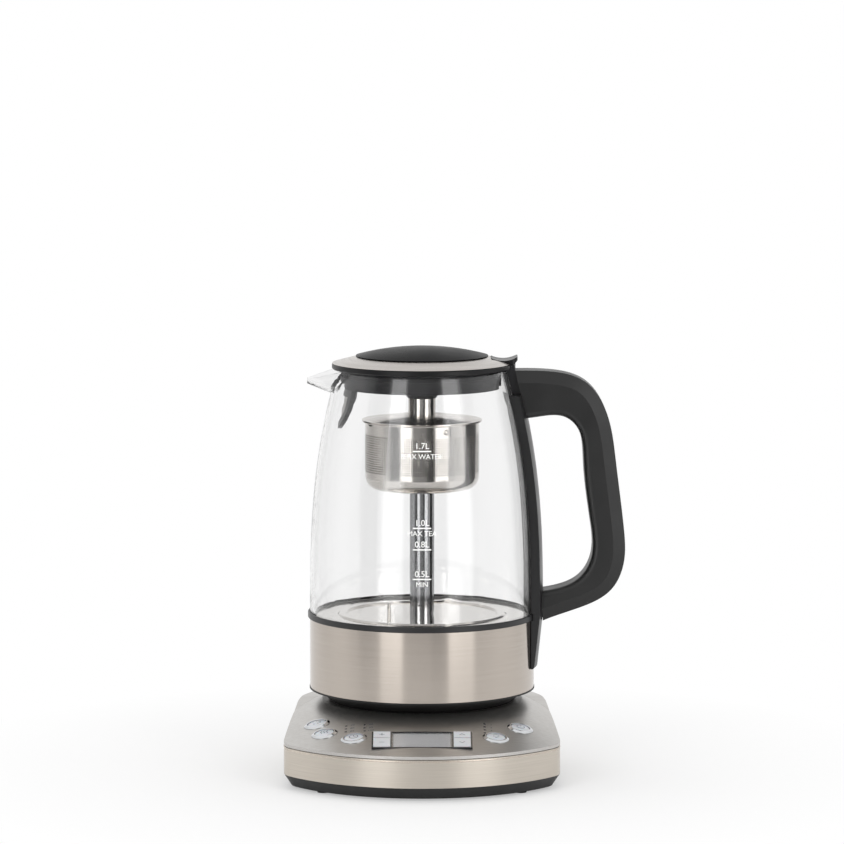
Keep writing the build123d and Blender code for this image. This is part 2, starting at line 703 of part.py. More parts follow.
def base_screws():
    """Four screws that pull the top plate down onto the bottom cover's posts."""
    return one(
        post(x, y, SCREW_HEAD_R, HEAD_SEAT_Z - SCREW_HEAD_H, HEAD_SEAT_Z)
        + post(x, y, SCREW_R, HEAD_SEAT_Z, HEAD_SEAT_Z + BASE_SCREW_LENGTH)
        for x, y in BASE_POSTS
    )


def gland_bar(radius, y0, y1):
    """A round bar along Y at the cord outlet."""
    return Plane((0, y0, GLAND_Z), x_dir=(1, 0, 0), z_dir=(0, 1, 0)) * Cylinder(
        radius, y1 - y0, align=(Align.CENTER, Align.CENTER, Align.MIN)
    )


def cord_gland():
    """Rubber grommet in the side band, bored for the supply cord."""
    outside = BACK_R + GLAND_FLANGE_T
    inside = outside - GLAND_LENGTH
    behind = BACK_R - SIDE_BAND_WALL - SHELL_FIT
    gland = gland_bar(GLAND_R, inside, outside)
    gland += gland_bar(GLAND_FLANGE_R, BACK_R, outside)
    gland += gland_bar(GLAND_FLANGE_R, behind - GLAND_FLANGE_T, behind)
    return gland - gland_bar(CORD_BORE_R, inside, outside)


# ---------------------------------------------------------------- electronics in the base


def control_board():
    """Printed circuit board on four standoffs under the panel."""
    depth = BOARD_REAR_Y - BOARD_FRONT_Y
    strip = Pos(0, (BOARD_REAR_Y + BOARD_FRONT_Y) / 2) * Rectangle(BIG, depth)
    plan = offset(OUTLINE, amount=-BOARD_MARGIN) & strip
    return Pos(0, 0, BOARD_Z) * extrude(plan, amount=BOARD_T)


def above_board(piece):
    """The part of a piece that stands on the board."""
    return piece & block(-BIG, BIG, -BIG, BIG, BOARD_TOP_Z, BIG)


def tact_switch(plane, stem_end):
    """A push switch on a post from the board, its plunger just under a button's stem."""
    top = stem_end - KEY_TRAVEL - SWITCH_SLACK
    body_top = top - PLUNGER_H
    body_bottom = body_top - SWITCH_BODY_H
    switch = along(plane, PLUNGER_R, body_top, top)
    switch += slab(plane, SWITCH_SIDE, SWITCH_SIDE, body_bottom, body_top)
    return switch + above_board(along(plane, SWITCH_POST_R, -PLATFORM_Z, body_bottom))


def button_switches():
    """Nine push switches, one under each button and key."""
    switches = [tact_switch(panel_plane(x, y), -CAP_DEPTH - STEM_LENGTH) for x, y in BUTTON_SPOTS]
    for x, y, depth in KEY_PLACES:
        switches.append(tact_switch(frame_plane() * Pos(x, y), -KEY_DEPTH - KEY_STEM_LENGTH))
    return one(switches)


def bezel_barrel_r():
    return CAP_R + CAP_FIT + BEZEL_WALL


def button_bezels():
    """Five chromed rings seated in the panel, each with a barrel that guides its cap."""
    guide_r = CAP_R + CAP_FIT
    section = face_of(
        [
            (guide_r, -BEZEL_DEPTH),
            (bezel_barrel_r(), -BEZEL_DEPTH),
            (bezel_barrel_r(), -BEZEL_SEAT),
            (BEZEL_R, -BEZEL_SEAT),
            (BEZEL_R, BEZEL_SEAT / 2),
            (bezel_barrel_r(), BEZEL_H),
            (guide_r, BEZEL_H),
        ]
    )
    return one(panel_plane(x, y) * turned(section) for x, y in BUTTON_SPOTS)


def round_button(x, y):
    """Pale domed cap with a stem that reaches down to its switch."""
    top = CAP_EDGE_H + CAP_DOME_H
    half_z = cap_z(CAP_R, CAP_EDGE_H, top, CAP_R / 2)
    foot = -CAP_DEPTH - STEM_LENGTH
    section = make_face(
        [
            Polyline((0, top), (0, foot), (STEM_R, foot), (STEM_R, -CAP_DEPTH)),
            Polyline((STEM_R, -CAP_DEPTH), (CAP_R, -CAP_DEPTH), (CAP_R, CAP_EDGE_H)),
            ThreePointArc((CAP_R, CAP_EDGE_H), (CAP_R / 2, half_z), (0, top)),
        ]
    )
    return panel_plane(x, y) * turned(section)


def keypad_frame():
    """Grid frame around the display and the four keys."""
    here = frame_plane()
    frame = slab(here, FRAME_W, FRAME_D, -FRAME_DEPTH, FRAME_RISE)
    frame -= slab(here, DISPLAY_W, DISPLAY_D, -FRAME_DEPTH, FRAME_RISE)
    for x, y, depth in KEY_PLACES:
        frame -= slab(here, KEY_W, depth, -FRAME_DEPTH, FRAME_RISE, x, y)
    return frame


def display_window():
    """Clear lens over the display."""
    slack = 2 * WINDOW_FIT
    return slab(frame_plane(), DISPLAY_W - slack, DISPLAY_D - slack, -WINDOW_SINK - WINDOW_T, -WINDOW_SINK)


def display_module():
    """Liquid crystal display in a carrier that stands on the board."""
    here = frame_plane()
    top = -WINDOW_SINK - WINDOW_T
    width, depth = DISPLAY_W - 2 * MODULE_INSET, DISPLAY_D - 2 * MODULE_INSET
    module = slab(here, width, depth, top - MODULE_T, top)
    for side in (-1, 1):
        leg_x = side * (width - MODULE_WALL) / 2
        module += above_board(slab(here, MODULE_WALL, depth, -PLATFORM_Z, top - MODULE_T, leg_x))
    return module


def panel_key(x, y, depth):
    """Rectangular key cap with a stem that reaches down to its switch."""
    here = frame_plane() * Pos(x, y)
    cap = slab(here, KEY_W - 2 * KEY_FIT, depth - 2 * KEY_FIT, -KEY_DEPTH, KEY_RISE)
    return cap + along(here, KEY_STEM_R, -KEY_DEPTH - KEY_STEM_LENGTH, -KEY_DEPTH)


def indicator_leds():
    """Small light pipes pressed through the panel."""
    bars = []
    for x, y in led_spots():
        panel_z = PLATFORM_Z - CONE_DROP * panel_share(x, y)
        bars.append(under_roof(post(x, y, LED_R, panel_z - LED_DEPTH, PLATFORM_Z), -LED_RISE))
    return one(bars)


# ---------------------------------------------------------------- connector, heights above the platform


def connector_dish():
    """Black cone that centres the jug, let into the top plate by a spigot."""
    inner_spigot = DISH_SPIGOT_R - DISH_WALL
    bore = PLUG_SPIGOT_R + PLUG_SPIGOT_FIT
    return lathe(
        (DISH_R, 0),
        (DISH_R, DISH_LIP),
        (DISH_TOP_R, DISH_H),
        (bore, DISH_H),
        (bore, DISH_H - DISH_WALL),
        (DISH_TOP_R - DISH_WALL / 2, DISH_H - DISH_WALL),
        (inner_spigot, DISH_LIP),
        (inner_spigot, -DISH_SPIGOT_DEPTH),
        (DISH_SPIGOT_R, -DISH_SPIGOT_DEPTH),
        (DISH_SPIGOT_R, 0),
    )


def connector_body():
    """Round mains coupling half: a collar with windows, a neck and a flared head with ring slots."""
    body = lathe(
        (0, DISH_H - PLUG_SPIGOT_DEPTH),
        (PLUG_SPIGOT_R, DISH_H - PLUG_SPIGOT_DEPTH),
        (PLUG_SPIGOT_R, DISH_H),
        (PLUG_COLLAR_R, DISH_H),
        (PLUG_COLLAR_R, PLUG_COLLAR_TOP - PLUG_CHAMFER),
        (PLUG_COLLAR_R - PLUG_CHAMFER, PLUG_COLLAR_TOP),
        (PLUG_NECK_R, PLUG_COLLAR_TOP),
        (PLUG_NECK_R, PLUG_NECK_TOP),
        (PLUG_HEAD_R - PLUG_CHAMFER, PLUG_NECK_TOP + PLUG_HEAD_RISE),
        (PLUG_HEAD_R, PLUG_HEAD_WIDE_Z),
        (PLUG_TOP_R + PLUG_CROWN_W, PLUG_TOP_Z - PLUG_CROWN_H),
        (PLUG_TOP_R, PLUG_TOP_Z),
        (0, PLUG_TOP_Z),
    )
    for middle in SLOT_RADII:
        body -= tube(middle + SLOT_W / 2, middle - SLOT_W / 2, SLOT_FLOOR, PLUG_TOP_Z)
    body -= post(0, 0, PIN_HOLE_R, SLOT_FLOOR, PLUG_TOP_Z)
    window = block(
        PLUG_COLLAR_R - PLUG_WINDOW_DEPTH,
        PLUG_COLLAR_R + PLUG_WINDOW_DEPTH,
        -PLUG_WINDOW_W / 2,
        PLUG_WINDOW_W / 2,
        DISH_H + PLUG_WINDOW_SILL,
        DISH_H + PLUG_WINDOW_SILL + PLUG_WINDOW_H,
    )
    for i in range(PLUG_WINDOWS):
        body -= Rot(0, 0, 360 * (i + 0.5) / PLUG_WINDOWS) * window
    return body


def connector_contacts():
    """Copper rings against the outer wall of each ring slot, and a sleeve in the middle hole."""
    outers = [middle + SLOT_W / 2 for middle in SLOT_RADII] + [PIN_HOLE_R]
    return one(tube(r, r - CONTACT_T, SLOT_FLOOR, SLOT_FLOOR + CONTACT_H) for r in outers)


def kettle_socket():
    """Round mains coupling half under the jug, with a flange that sits on the jug's base cover."""
    return lathe(
        (SOCKET_CAVITY_R, RECESS_TOP),
        (SOCKET_R, RECESS_TOP),
        (SOCKET_R, SOCKET_SEAT),
        (SOCKET_FLANGE_R, SOCKET_SEAT),
        (SOCKET_FLANGE_R, SOCKET_SEAT + SOCKET_FLANGE_T),
        (SOCKET_R, SOCKET_SEAT + SOCKET_FLANGE_T),
        (SOCKET_R, SOCKET_TOP),
        (0, SOCKET_TOP),
        (0, SOCKET_CAVITY_TOP),
        (SOCKET_CAVITY_R, SOCKET_CAVITY_TOP),
    )


def socket_contacts():
    """Two brass blade rings and a pin that enter the base connector's slots."""
    low = SOCKET_CAVITY_TOP - BLADE_DEPTH
    blades = []
    for middle in SLOT_RADII:
        outer = middle + SLOT_W / 2 - CONTACT_T - BLADE_GAP
        blades.append(tube(outer, outer - BLADE_T, low, SOCKET_CAVITY_TOP))
    blades.append(post(0, 0, PIN_HOLE_R - CONTACT_T - BLADE_GAP, low, SOCKET_CAVITY_TOP))
    return one(blades)


# ---------------------------------------------------------------- jug


def glass_r(z):
    """Outer radius of the glass at a height above the jug's foot."""
    share = min(max((z - GLASS_FOOT) / GLASS_H, 0.0), 1.0)
    return BODY_R - (BODY_R - MOUTH_R) * share**SHOULDER_POWER


def glass_section(out, low, high, steps=8):
    """Half section from the axis to a line that follows the glass, out beyond its outer face."""
    heights = [low + (high - low) * i / steps for i in range(steps + 1)]
    side = Spline(*[(glass_r(z) + out, z) for z in heights])
    return make_face(
        [
            Line((0, low), (glass_r(low) + out, low)),
            side,
            Line((glass_r(high) + out, high), (0, high)),
            Line((0, high), (0, low)),
        ]
    )


def jug_base_cover():
    """Black foot of the jug: a curved skirt, a lip under the band and a conical recess over the dish."""
    top_r = DISH_TOP_R + RECESS_SIDE_GAP
    bore = SOCKET_R + SOCKET_RUN
    lip_low = SKIRT_H - SKIRT_LIP_T
    upstand = BODY_R - JUG_BAND_WALL - SHELL_FIT
    section = make_face(
        [
            Line((RECESS_R, 0), (FOOT_RING_R, 0)),
            ThreePointArc(
                (FOOT_RING_R, 0),
                ((FOOT_RING_R + SKIRT_R) / 2 + SKIRT_BULGE, lip_low / 2),
                (SKIRT_R, lip_low),
            ),
            Polyline(
                (SKIRT_R, lip_low),
                (SKIRT_LIP_R, lip_low),
                (SKIRT_LIP_R, SKIRT_H),
                (upstand, SKIRT_H),
                (upstand, SKIRT_H + 2 * BASE_COVER_WALL),
                (upstand - BASE_COVER_WALL, SKIRT_H + 2 * BASE_COVER_WALL),
                (upstand - BASE_COVER_WALL, SKIRT_H + BASE_COVER_WALL / 2),
                (SKIRT_R - BASE_COVER_WALL, SKIRT_H + BASE_COVER_WALL / 2),
                (FOOT_RING_R - BASE_COVER_WALL, BASE_COVER_WALL),
                (RECESS_R + BASE_COVER_WALL, BASE_COVER_WALL),
                (top_r + BASE_COVER_WALL / 2, SOCKET_SEAT),
                (bore, SOCKET_SEAT),
                (bore, RECESS_TOP),
                (top_r, RECESS_TOP),
                (RECESS_R, RECESS_GAP),
                (RECESS_R, 0),
            ),
        ]
    )
    return turned(section)


def steel_band():
    """Brushed steel band around the jug's heater housing."""
    return tube(BODY_R, BODY_R - JUG_BAND_WALL, SKIRT_H, JUG_BAND_TOP)


def jug_collar():
    """Black ring that holds the heating plate and the foot of the glass on the band."""
    return lathe(
        (COLLAR_IN_R, JUG_BAND_TOP),
        (COLLAR_R - COLLAR_ROUND, JUG_BAND_TOP),
        (COLLAR_R, JUG_BAND_TOP + COLLAR_ROUND),
        (COLLAR_R, COLLAR_TOP_Z - COLLAR_ROUND),
        (COLLAR_R - COLLAR_ROUND, COLLAR_TOP_Z),
        (COLLAR_BORE_R, COLLAR_TOP_Z),
        (COLLAR_BORE_R, PLATE_BOTTOM),
        (COLLAR_IN_R, PLATE_BOTTOM),
    )


def heating_plate():
    """Steel floor of the jug with a pressed ridge and holes for the column and the probe."""
    in_r, out_r = PLATE_RIDGE_R - PLATE_RIDGE_W / 2, PLATE_RIDGE_R + PLATE_RIDGE_W / 2
    slope = PLATE_RIDGE_H
    plate = lathe(
        (TUBE_R + TUBE_FIT, PLATE_BOTTOM),
        (in_r, PLATE_BOTTOM),
        (in_r + slope, PLATE_BOTTOM + PLATE_RIDGE_H),
        (out_r - slope, PLATE_BOTTOM + PLATE_RIDGE_H),
        (out_r, PLATE_BOTTOM),
        (BODY_R, PLATE_BOTTOM),
        (BODY_R, PLATE_TOP),
        (out_r + PLATE_RIDGE_OFFSET, PLATE_TOP),
        (out_r - slope + PLATE_RIDGE_OFFSET, PLATE_TOP + PLATE_RIDGE_H),
        (in_r + slope - PLATE_RIDGE_OFFSET, PLATE_TOP + PLATE_RIDGE_H),
        (in_r - PLATE_RIDGE_OFFSET, PLATE_TOP),
        (TUBE_R + TUBE_FIT, PLATE_TOP),
    )
    return plate - post(PROBE_X, PROBE_Y, PROBE_R + PROBE_FIT, PLATE_BOTTOM, PLATE_TOP)


def jug_seal():
    """Silicone ring between the heating plate and the foot of the glass."""
    return tube(BODY_R - COLLAR_FIT, BODY_R - GLASS_WALL, PLATE_TOP, GLASS_FOOT)


def heating_element():
    """Ring heater brazed under the plate, with two terminal pins."""
    low, half_w = PLATE_BOTTOM - ELEMENT_H, ELEMENT_W / 2
    element = tube(ELEMENT_R + half_w, ELEMENT_R - half_w, low, PLATE_BOTTOM)
    for side in (-1, 1):
        element += post(side * ELEMENT_W, ELEMENT_R, ELEMENT_PIN_R, low - ELEMENT_PIN_LENGTH, low)
    return element


def temperature_probe():
    """Pin that reads the water's temperature, clamped under the plate."""
    probe = post(PROBE_X, PROBE_Y, PROBE_R, PLATE_BOTTOM - PROBE_NUT_H, PLATE_TOP + PROBE_H)
    return probe + post(PROBE_X, PROBE_Y, PROBE_NUT_R, PLATE_BOTTOM - PROBE_NUT_H, PLATE_BOTTOM)


def spout_section(plane_x, half_w, low, top, wall_t=0.0):
    """U-shaped cross section of the spout, standing across the spout's direction."""
    width, floor = half_w - wall_t, low + wall_t
    depth = top - floor
    bowl = Ellipse(width, depth) & (Pos(0, -depth / 2) * Rectangle(4 * width, depth))
    above = Pos(0, depth / 4) * Rectangle(2 * width, depth / 2)
    return Plane((plane_x, 0, top), x_dir=(0, 1, 0), z_dir=(1, 0, 0)) * (bowl + above)


def glass_jug():
    """Glass jug: a turned wall drawn in at the shoulder, flared at one side into the spout."""
    root_x = -(MOUTH_IN_R - 2 * SPOUT_WALL)
    tip_x = -(MOUTH_R + SPOUT_REACH)
    tip_top = RIM_Z - SPOUT_TIP_DROP
    tip_low = tip_top - SPOUT_TIP_DEPTH
    root_low = RIM_Z - SPOUT_DROP
    outer_spout = loft(
        [
            spout_section(root_x, SPOUT_HALF_W, root_low, RIM_Z),
            spout_section(tip_x, SPOUT_TIP_HALF_W, tip_low, tip_top),
        ],
        ruled=True,
    )
    past = tip_x - SPOUT_WALL / 2
    inner_spout = loft(
        [
            spout_section(root_x + SPOUT_WALL / 2, SPOUT_HALF_W, root_low, RIM_Z, SPOUT_WALL),
            spout_section(past, SPOUT_TIP_HALF_W, tip_low, tip_top, 0.6 * SPOUT_WALL),
        ],
        ruled=True,
    )
    hollow = turned(glass_section(-GLASS_WALL, GLASS_FOOT, RIM_Z))
    jug = turned(glass_section(0.0, GLASS_FOOT, RIM_Z)) + outer_spout - hollow - inner_spout
    fall_x = -MOUTH_R + GLASS_WALL
    rim_line = [(BIG, RIM_Z), (fall_x, RIM_Z), (tip_x, tip_top), (-BIG, tip_top)]
    above = face_of(rim_line + [(-BIG, BIG), (BIG, BIG)])
    return jug - extrude(Plane.XZ * above, amount=BIG, both=True)


# ---------------------------------------------------------------- lift column


def column_tube():
    """Steel tube that stands through the heating plate and guards the lift rod."""
    column = tube(TUBE_R, TUBE_BORE_R, MOTOR_TOP, TUBE_TOP_Z)
    return column + tube(TUBE_FLANGE_R, TUBE_R, PLATE_BOTTOM - TUBE_FLANGE_T, PLATE_BOTTOM)


def column_bush():
    """Cap and guide bush at the top of the tube."""
    bore = ROD_R + RUNNING_FIT
    return lathe(
        (bore, TUBE_TOP_Z - BUSH_SPIGOT_H),
        (TUBE_BORE_R - TUBE_FIT, TUBE_TOP_Z - BUSH_SPIGOT_H),
        (TUBE_BORE_R - TUBE_FIT, TUBE_TOP_Z),
        (TUBE_R, TUBE_TOP_Z),
        (TUBE_R, BUSH_TOP - COLLAR_ROUND),
        (TUBE_R - COLLAR_ROUND, BUSH_TOP),
        (bore, BUSH_TOP),
    )


def lift_motor():
    """Gear motor hung under the column, bored at the top for the spindle's stub."""
    motor = post(0, 0, MOTOR_R, MOTOR_BOTTOM, GEARBOX_BOTTOM)
    motor += post(0, 0, GEARBOX_R, GEARBOX_BOTTOM, MOTOR_TOP)
    bore_depth = SPINDLE_STUB_LENGTH + 2 * SPINDLE_END_PLAY
    return motor - post(0, 0, SPINDLE_STUB_R + RUNNING_FIT, MOTOR_TOP - bore_depth, MOTOR_TOP)


def lead_screw():
    """Spindle that the motor turns inside the tube; its thread is drawn as a plain cylinder."""
    shoulder = MOTOR_TOP + SPINDLE_END_PLAY
    spindle = post(0, 0, SCREW_SPINDLE_R, shoulder, NUT_TOP + SPINDLE_OVERRUN)
    return spindle + post(0, 0, SPINDLE_STUB_R, shoulder - SPINDLE_STUB_LENGTH, shoulder)


def lift_nut():
    """Nut on the spindle that carries the rod."""
    outer = TUBE_BORE_R - NUT_FIT
    bore = SCREW_SPINDLE_R + RUNNING_FIT
    seat = NUT_TOP - NUT_SOCKET_H
    return lathe(
        (bore, NUT_BOTTOM_Z),
        (outer, NUT_BOTTOM_Z),
        (outer, NUT_TOP),
        (ROD_R, NUT_TOP),
        (ROD_R, seat),
        (bore, seat),
    )


def lift_rod():
    """Hollow steel rod that rises out of the tube and carries the infuser on its closed tip."""
    seat = NUT_TOP - NUT_SOCKET_H
    return lathe(
        (ROD_BORE_R, seat),
        (ROD_R, seat),
        (ROD_R, ROD_TOP_Z - 2 * COLLAR_ROUND),
        (ROD_R - 2 * COLLAR_ROUND, ROD_TOP_Z),
        (0, ROD_TOP_Z),
        (0, ROD_TOP_Z - ROD_CLOSED_H),
        (ROD_BORE_R, ROD_TOP_Z - ROD_CLOSED_H),
    )


# ---------------------------------------------------------------- infuser


def corner_section(radius, low, high, corner):
    """Half section of a round tub with a rounded lower corner."""
    section = face_of([(0, low), (radius, low), (radius, high), (0, high)])
    foot = section.vertices().filter_by(lambda v: v.X > radius / 2 and v.Y < (low + high) / 2)
    return fillet(foot, corner)


def ring_section(outer, inner, low, high):
    return face_of([(inner, low), (outer, low), (outer, high), (inner, high)])


def bump_turns():
    """Rotations that carry a piece drawn on +X to each bump's bearing."""
    return [Rot(0, 0, angle - 90) for angle in BUMP_ANGLES]


def basket_sleeve():
    """Tube in the middle of the basket that slides over the column, thickened at its top into a ring."""
    top = BASKET_RIM - BASKET_FLANGE_T
    section = ring_section(SLEEVE_R + SLEEVE_WALL, SLEEVE_R, BASKET_FOOT, top)
    return turned(section + ring_section(SLEEVE_RING_R, SLEEVE_R, top - SLEEVE_RING_H, top))


def tea_basket():
    """Drawn steel cup with a rolled flange and a hole in its floor, in which the sleeve stands."""
    section = corner_section(BASKET_R, BASKET_FOOT, BASKET_RIM, BASKET_CORNER_R)
    section -= corner_section(
        BASKET_R - BASKET_WALL,
        BASKET_FOOT + BASKET_WALL,
        BASKET_RIM + BASKET_WALL,
        BASKET_CORNER_R - BASKET_WALL,
    )
    section += ring_section(BASKET_FLANGE_R, BASKET_R - BASKET_WALL, BASKET_RIM - BASKET_FLANGE_T, BASKET_RIM)
    basket = turned(section) - post(0, 0, SLEEVE_R + SLEEVE_WALL, BASKET_FOOT, BASKET_RIM)
    slot_half = BUMP_R + BUMP_SLOT_FIT
    slot_out = COVER_SKIRT_R + BUMP_PROUD + BUMP_SLOT_FIT
    slot = block(COVER_SKIRT_R, slot_out, -slot_half, slot_half, BUMP_Z - slot_half, BASKET_RIM)
    for turn in bump_turns():
        basket -= turn * slot
    return basket


def infuser_cover():
    """Steel cover of the basket: flange, skirt with three bumps, and a low dome with a hole for the neck."""
    edge = BASKET_RIM + COVER_FLANGE_T
    landing_r = NECK_R + COVER_LANDING
    middle_r = (COVER_SKIRT_R + landing_r) / 2
    middle_z = edge + 0.62 * (COVER_TOP - edge)
    skirt_in = COVER_SKIRT_R - COVER_SHEET
    section = make_face(
        [
            Polyline(
                (COVER_SKIRT_R, BASKET_RIM - COVER_SKIRT_H),
                (COVER_SKIRT_R, BASKET_RIM),
                (COVER_R, BASKET_RIM),
                (COVER_R, edge),
                (COVER_SKIRT_R, edge),
            ),
            ThreePointArc((COVER_SKIRT_R, edge), (middle_r, middle_z), (landing_r, COVER_TOP)),
            Polyline(
                (landing_r, COVER_TOP),
                (NECK_BORE_R, COVER_TOP),
                (NECK_BORE_R, COVER_TOP - COVER_SHEET),
                (landing_r, COVER_TOP - COVER_SHEET),
            ),
            ThreePointArc(
                (landing_r, COVER_TOP - COVER_SHEET),
                (middle_r, middle_z - COVER_SHEET),
                (skirt_in, edge - COVER_SHEET),
            ),
            Polyline(
                (skirt_in, edge - COVER_SHEET),
                (skirt_in, BASKET_RIM - COVER_SKIRT_H),
                (COVER_SKIRT_R, BASKET_RIM - COVER_SKIRT_H),
            ),
        ]
    )
    cover = turned(section)
    bump = Pos(COVER_SKIRT_R + BUMP_PROUD - BUMP_R, 0, BUMP_Z) * Sphere(BUMP_R)
    bump -= post(0, 0, skirt_in, BASKET_FOOT, BASKET_RIM)
    for turn in bump_turns():
        cover += turn * bump
    return cover


def infuser_neck():
    """Steel tube between the cover and its knob; it slides down over the column."""
    return tube(NECK_R, NECK_BORE_R, COVER_TOP, KNOB_FOOT_Z)


def infuser_knob():
    """Turned knob that lifts the infuser out, bored underneath for the neck's stop."""
    waist_z = KNOB_FOOT_Z + KNOB_TAPER_H
    top_z = waist_z + KNOB_H
    stop_top = ROD_TOP_Z + STOP_T
    section = face_of(
        [
            (NECK_BORE_R, KNOB_FOOT_Z),
            (KNOB_FOOT_R, KNOB_FOOT_Z),
            (KNOB_WAIST_R, waist_z),
            (KNOB_R, waist_z),
            (KNOB_R, top_z),
            (0, top_z),
            (0, stop_top),
            (NECK_BORE_R, stop_top),
        ]
    )
    rim = section.vertices().filter_by(lambda v: v.X > KNOB_R - 0.01)
    return turned(fillet(rim, KNOB_ROUND))


def neck_stop():
    """Disc in the knob's bore that rests on the lift rod's tip."""
    return post(0, 0, NECK_BORE_R - STOP_FIT, ROD_TOP_Z, ROD_TOP_Z + STOP_T)


# ---------------------------------------------------------------- lid


def clip_passage(low, high):
    """Room in the lid for the handle's clip."""
    side = CLIP_HALF_W + CLIP_NOTCH_FIT
    return block(CLIP_LUG_IN_R - CLIP_PASSAGE_FIT, BIG, -side, side, low, high)


def lid_screw_spots():
    turns = [math.radians(90 + 360 * i / LID_SCREWS) for i in range(LID_SCREWS)]
    return [(LID_SCREW_PITCH_R * math.cos(t), LID_SCREW_PITCH_R * math.sin(t)) for t in turns]


def lid_ear():
    """Thumb tab over the handle's clip: a saddle that follows the steel ring and turns up at its tip."""
    low = CLIP_TOP + EAR_CLEARANCE
    tip = LID_SEAT + EAR_TOP
    saddle = (LID_R - EAR_SADDLE_INSET, LID_SEAT + EAR_SADDLE_TOP)
    side = make_face(
        [
            Spline((EAR_ROOT, LID_SEAT + EAR_ROOT_TOP), saddle, (EAR_REACH, tip)),
            Polyline(
                (EAR_REACH, tip),
                (EAR_REACH, tip - EAR_TIP_T),
                (EAR_REACH - EAR_TIP_UNDERCUT, low),
                (EAR_ROOT, low),
                (EAR_ROOT, LID_SEAT + EAR_ROOT_TOP),
            ),
        ]
    )
    plan = block(EAR_ROOT, EAR_REACH, -EAR_HALF_W, EAR_HALF_W, low, tip)
    outer_edges = plan.edges().filter_by(Axis.Z).sort_by(Axis.X)[-2:]
    return extrude(Plane.XZ * side, amount=EAR_HALF_W, both=True) & fillet(outer_edges, EAR_CORNER_R)


def lid_rim():
    """Black plate of the lid that rests on the glass, with a raised ear over the handle's clip."""
    rim = lathe(
        (0, LID_SEAT),
        (LID_R - LID_ROUND, LID_SEAT),
        (LID_R, LID_SEAT + LID_ROUND),
        (LID_R, LID_TOP - LID_ROUND),
        (LID_R - LID_ROUND, LID_TOP),
        (0, LID_TOP),
    )
    rim -= clip_passage(LID_SEAT, CLIP_TOP + EAR_CLEARANCE)
    rim += lid_ear()
    for x, y in lid_screw_spots():
        rim -= post(x, y, SCREW_R + HEAD_POCKET_FIT, LID_SEAT, LID_TOP)
    return rim


def lid_steel_ring():
    """Pressed steel ring that rises from the lid's edge to the dome, cut away around the ear."""
    edge_r = LID_R - STEEL_RING_EDGE
    bore = DOME_R - DOME_SEAT
    steep = STEEL_RING_H / (edge_r - DOME_R)
    ring = lathe(
        (edge_r, LID_TOP),
        (DOME_R, DOME_Z),
        (bore, DOME_Z),
        (bore, DOME_Z - STEEL_RING_SHEET),
        (DOME_R, DOME_Z - STEEL_RING_SHEET),
        (edge_r - STEEL_RING_SHEET / steep, LID_TOP),
    )
    gap = EAR_HALF_W + SHELL_FIT
    return ring - block(EAR_ROOT - SHELL_FIT, BIG, -gap, gap, LID_TOP, DOME_Z)


def lid_dome():
    """Glossy black dome with a spigot that stands on the lid's rim and three screw bosses."""
    edge_z = DOME_Z + DOME_EDGE_H
    top_z = DOME_Z + DOME_H
    half_r = DOME_R / 2
    half_z = cap_z(DOME_R, edge_z, top_z, half_r)
    spigot_r = DOME_R - DOME_SEAT - SHELL_FIT
    inner_r = spigot_r - DOME_WALL
    inner_edge, inner_top = edge_z - DOME_WALL / 2, top_z - DOME_WALL
    inner_half_z = cap_z(inner_r, inner_edge, inner_top, half_r)
    section = make_face(
        [
            Line((0, inner_top), (0, top_z)),
            ThreePointArc((0, top_z), (half_r, half_z), (DOME_R, edge_z)),
            Polyline(
                (DOME_R, edge_z),
                (DOME_R, DOME_Z),
                (spigot_r, DOME_Z),
                (spigot_r, LID_TOP),
                (inner_r, LID_TOP),
                (inner_r, inner_edge),
            ),
            ThreePointArc((inner_r, inner_edge), (half_r, inner_half_z), (0, inner_top)),
        ]
    )
    dome = turned(section)
    boss_top = cap_z(DOME_R, edge_z, top_z, LID_SCREW_PITCH_R) - 0.6 * DOME_WALL
    for x, y in lid_screw_spots():
        dome += post(x, y, LID_BOSS_R, LID_TOP, boss_top)
    for x, y in lid_screw_spots():
        dome -= post(x, y, SCREW_R + SCREW_BITE, LID_TOP, boss_top - LID_BOSS_ROOF)
    return dome


def lid_plug():
    """Black cup under the lid that fills the mouth, grooved for its gasket and notched for the clip."""
    groove_top = LID_SEAT - GASKET_TOP_DROP
    groove_low = groove_top - GASKET_H
    groove_r = LID_PLUG_R - GASKET_GROOVE
    inner = LID_PLUG_R - PLUG_WALL
    plug = lathe(
        (0, LID_PLUG_ROOF_Z),
        (inner, LID_PLUG_ROOF_Z),
        (inner, LID_PLUG_BOTTOM),
        (LID_PLUG_R, LID_PLUG_BOTTOM),
        (LID_PLUG_R, groove_low),
        (groove_r, groove_low),
        (groove_r, groove_top),
        (LID_PLUG_R, groove_top),
        (LID_PLUG_R, LID_SEAT),
        (0, LID_SEAT),
    )
    for x, y in lid_screw_spots():
        plug -= post(x, y, SCREW_R + HEAD_POCKET_FIT, LID_PLUG_ROOF_Z, LID_SEAT)
    return plug - clip_passage(LID_PLUG_BOTTOM, LID_SEAT)


def lid_gasket():
    """Silicone ring that seals the lid in the mouth, open where the clip passes."""
    top = LID_SEAT - GASKET_TOP_DROP
    ring = tube(MOUTH_IN_R - GASKET_FIT, LID_PLUG_R - GASKET_GROOVE, top - GASKET_H, top)
    return ring - clip_passage(top - GASKET_H, top)


def lid_screws():
    """Three screws from inside the plug, through the rim, into the dome."""
    return one(
        post(x, y, SCREW_HEAD_R, LID_PLUG_ROOF_Z - SCREW_HEAD_H, LID_PLUG_ROOF_Z)
        + post(x, y, SCREW_R, LID_PLUG_ROOF_Z, LID_PLUG_ROOF_Z + LID_SCREW_LENGTH)
        for x, y in lid_screw_spots()
    )


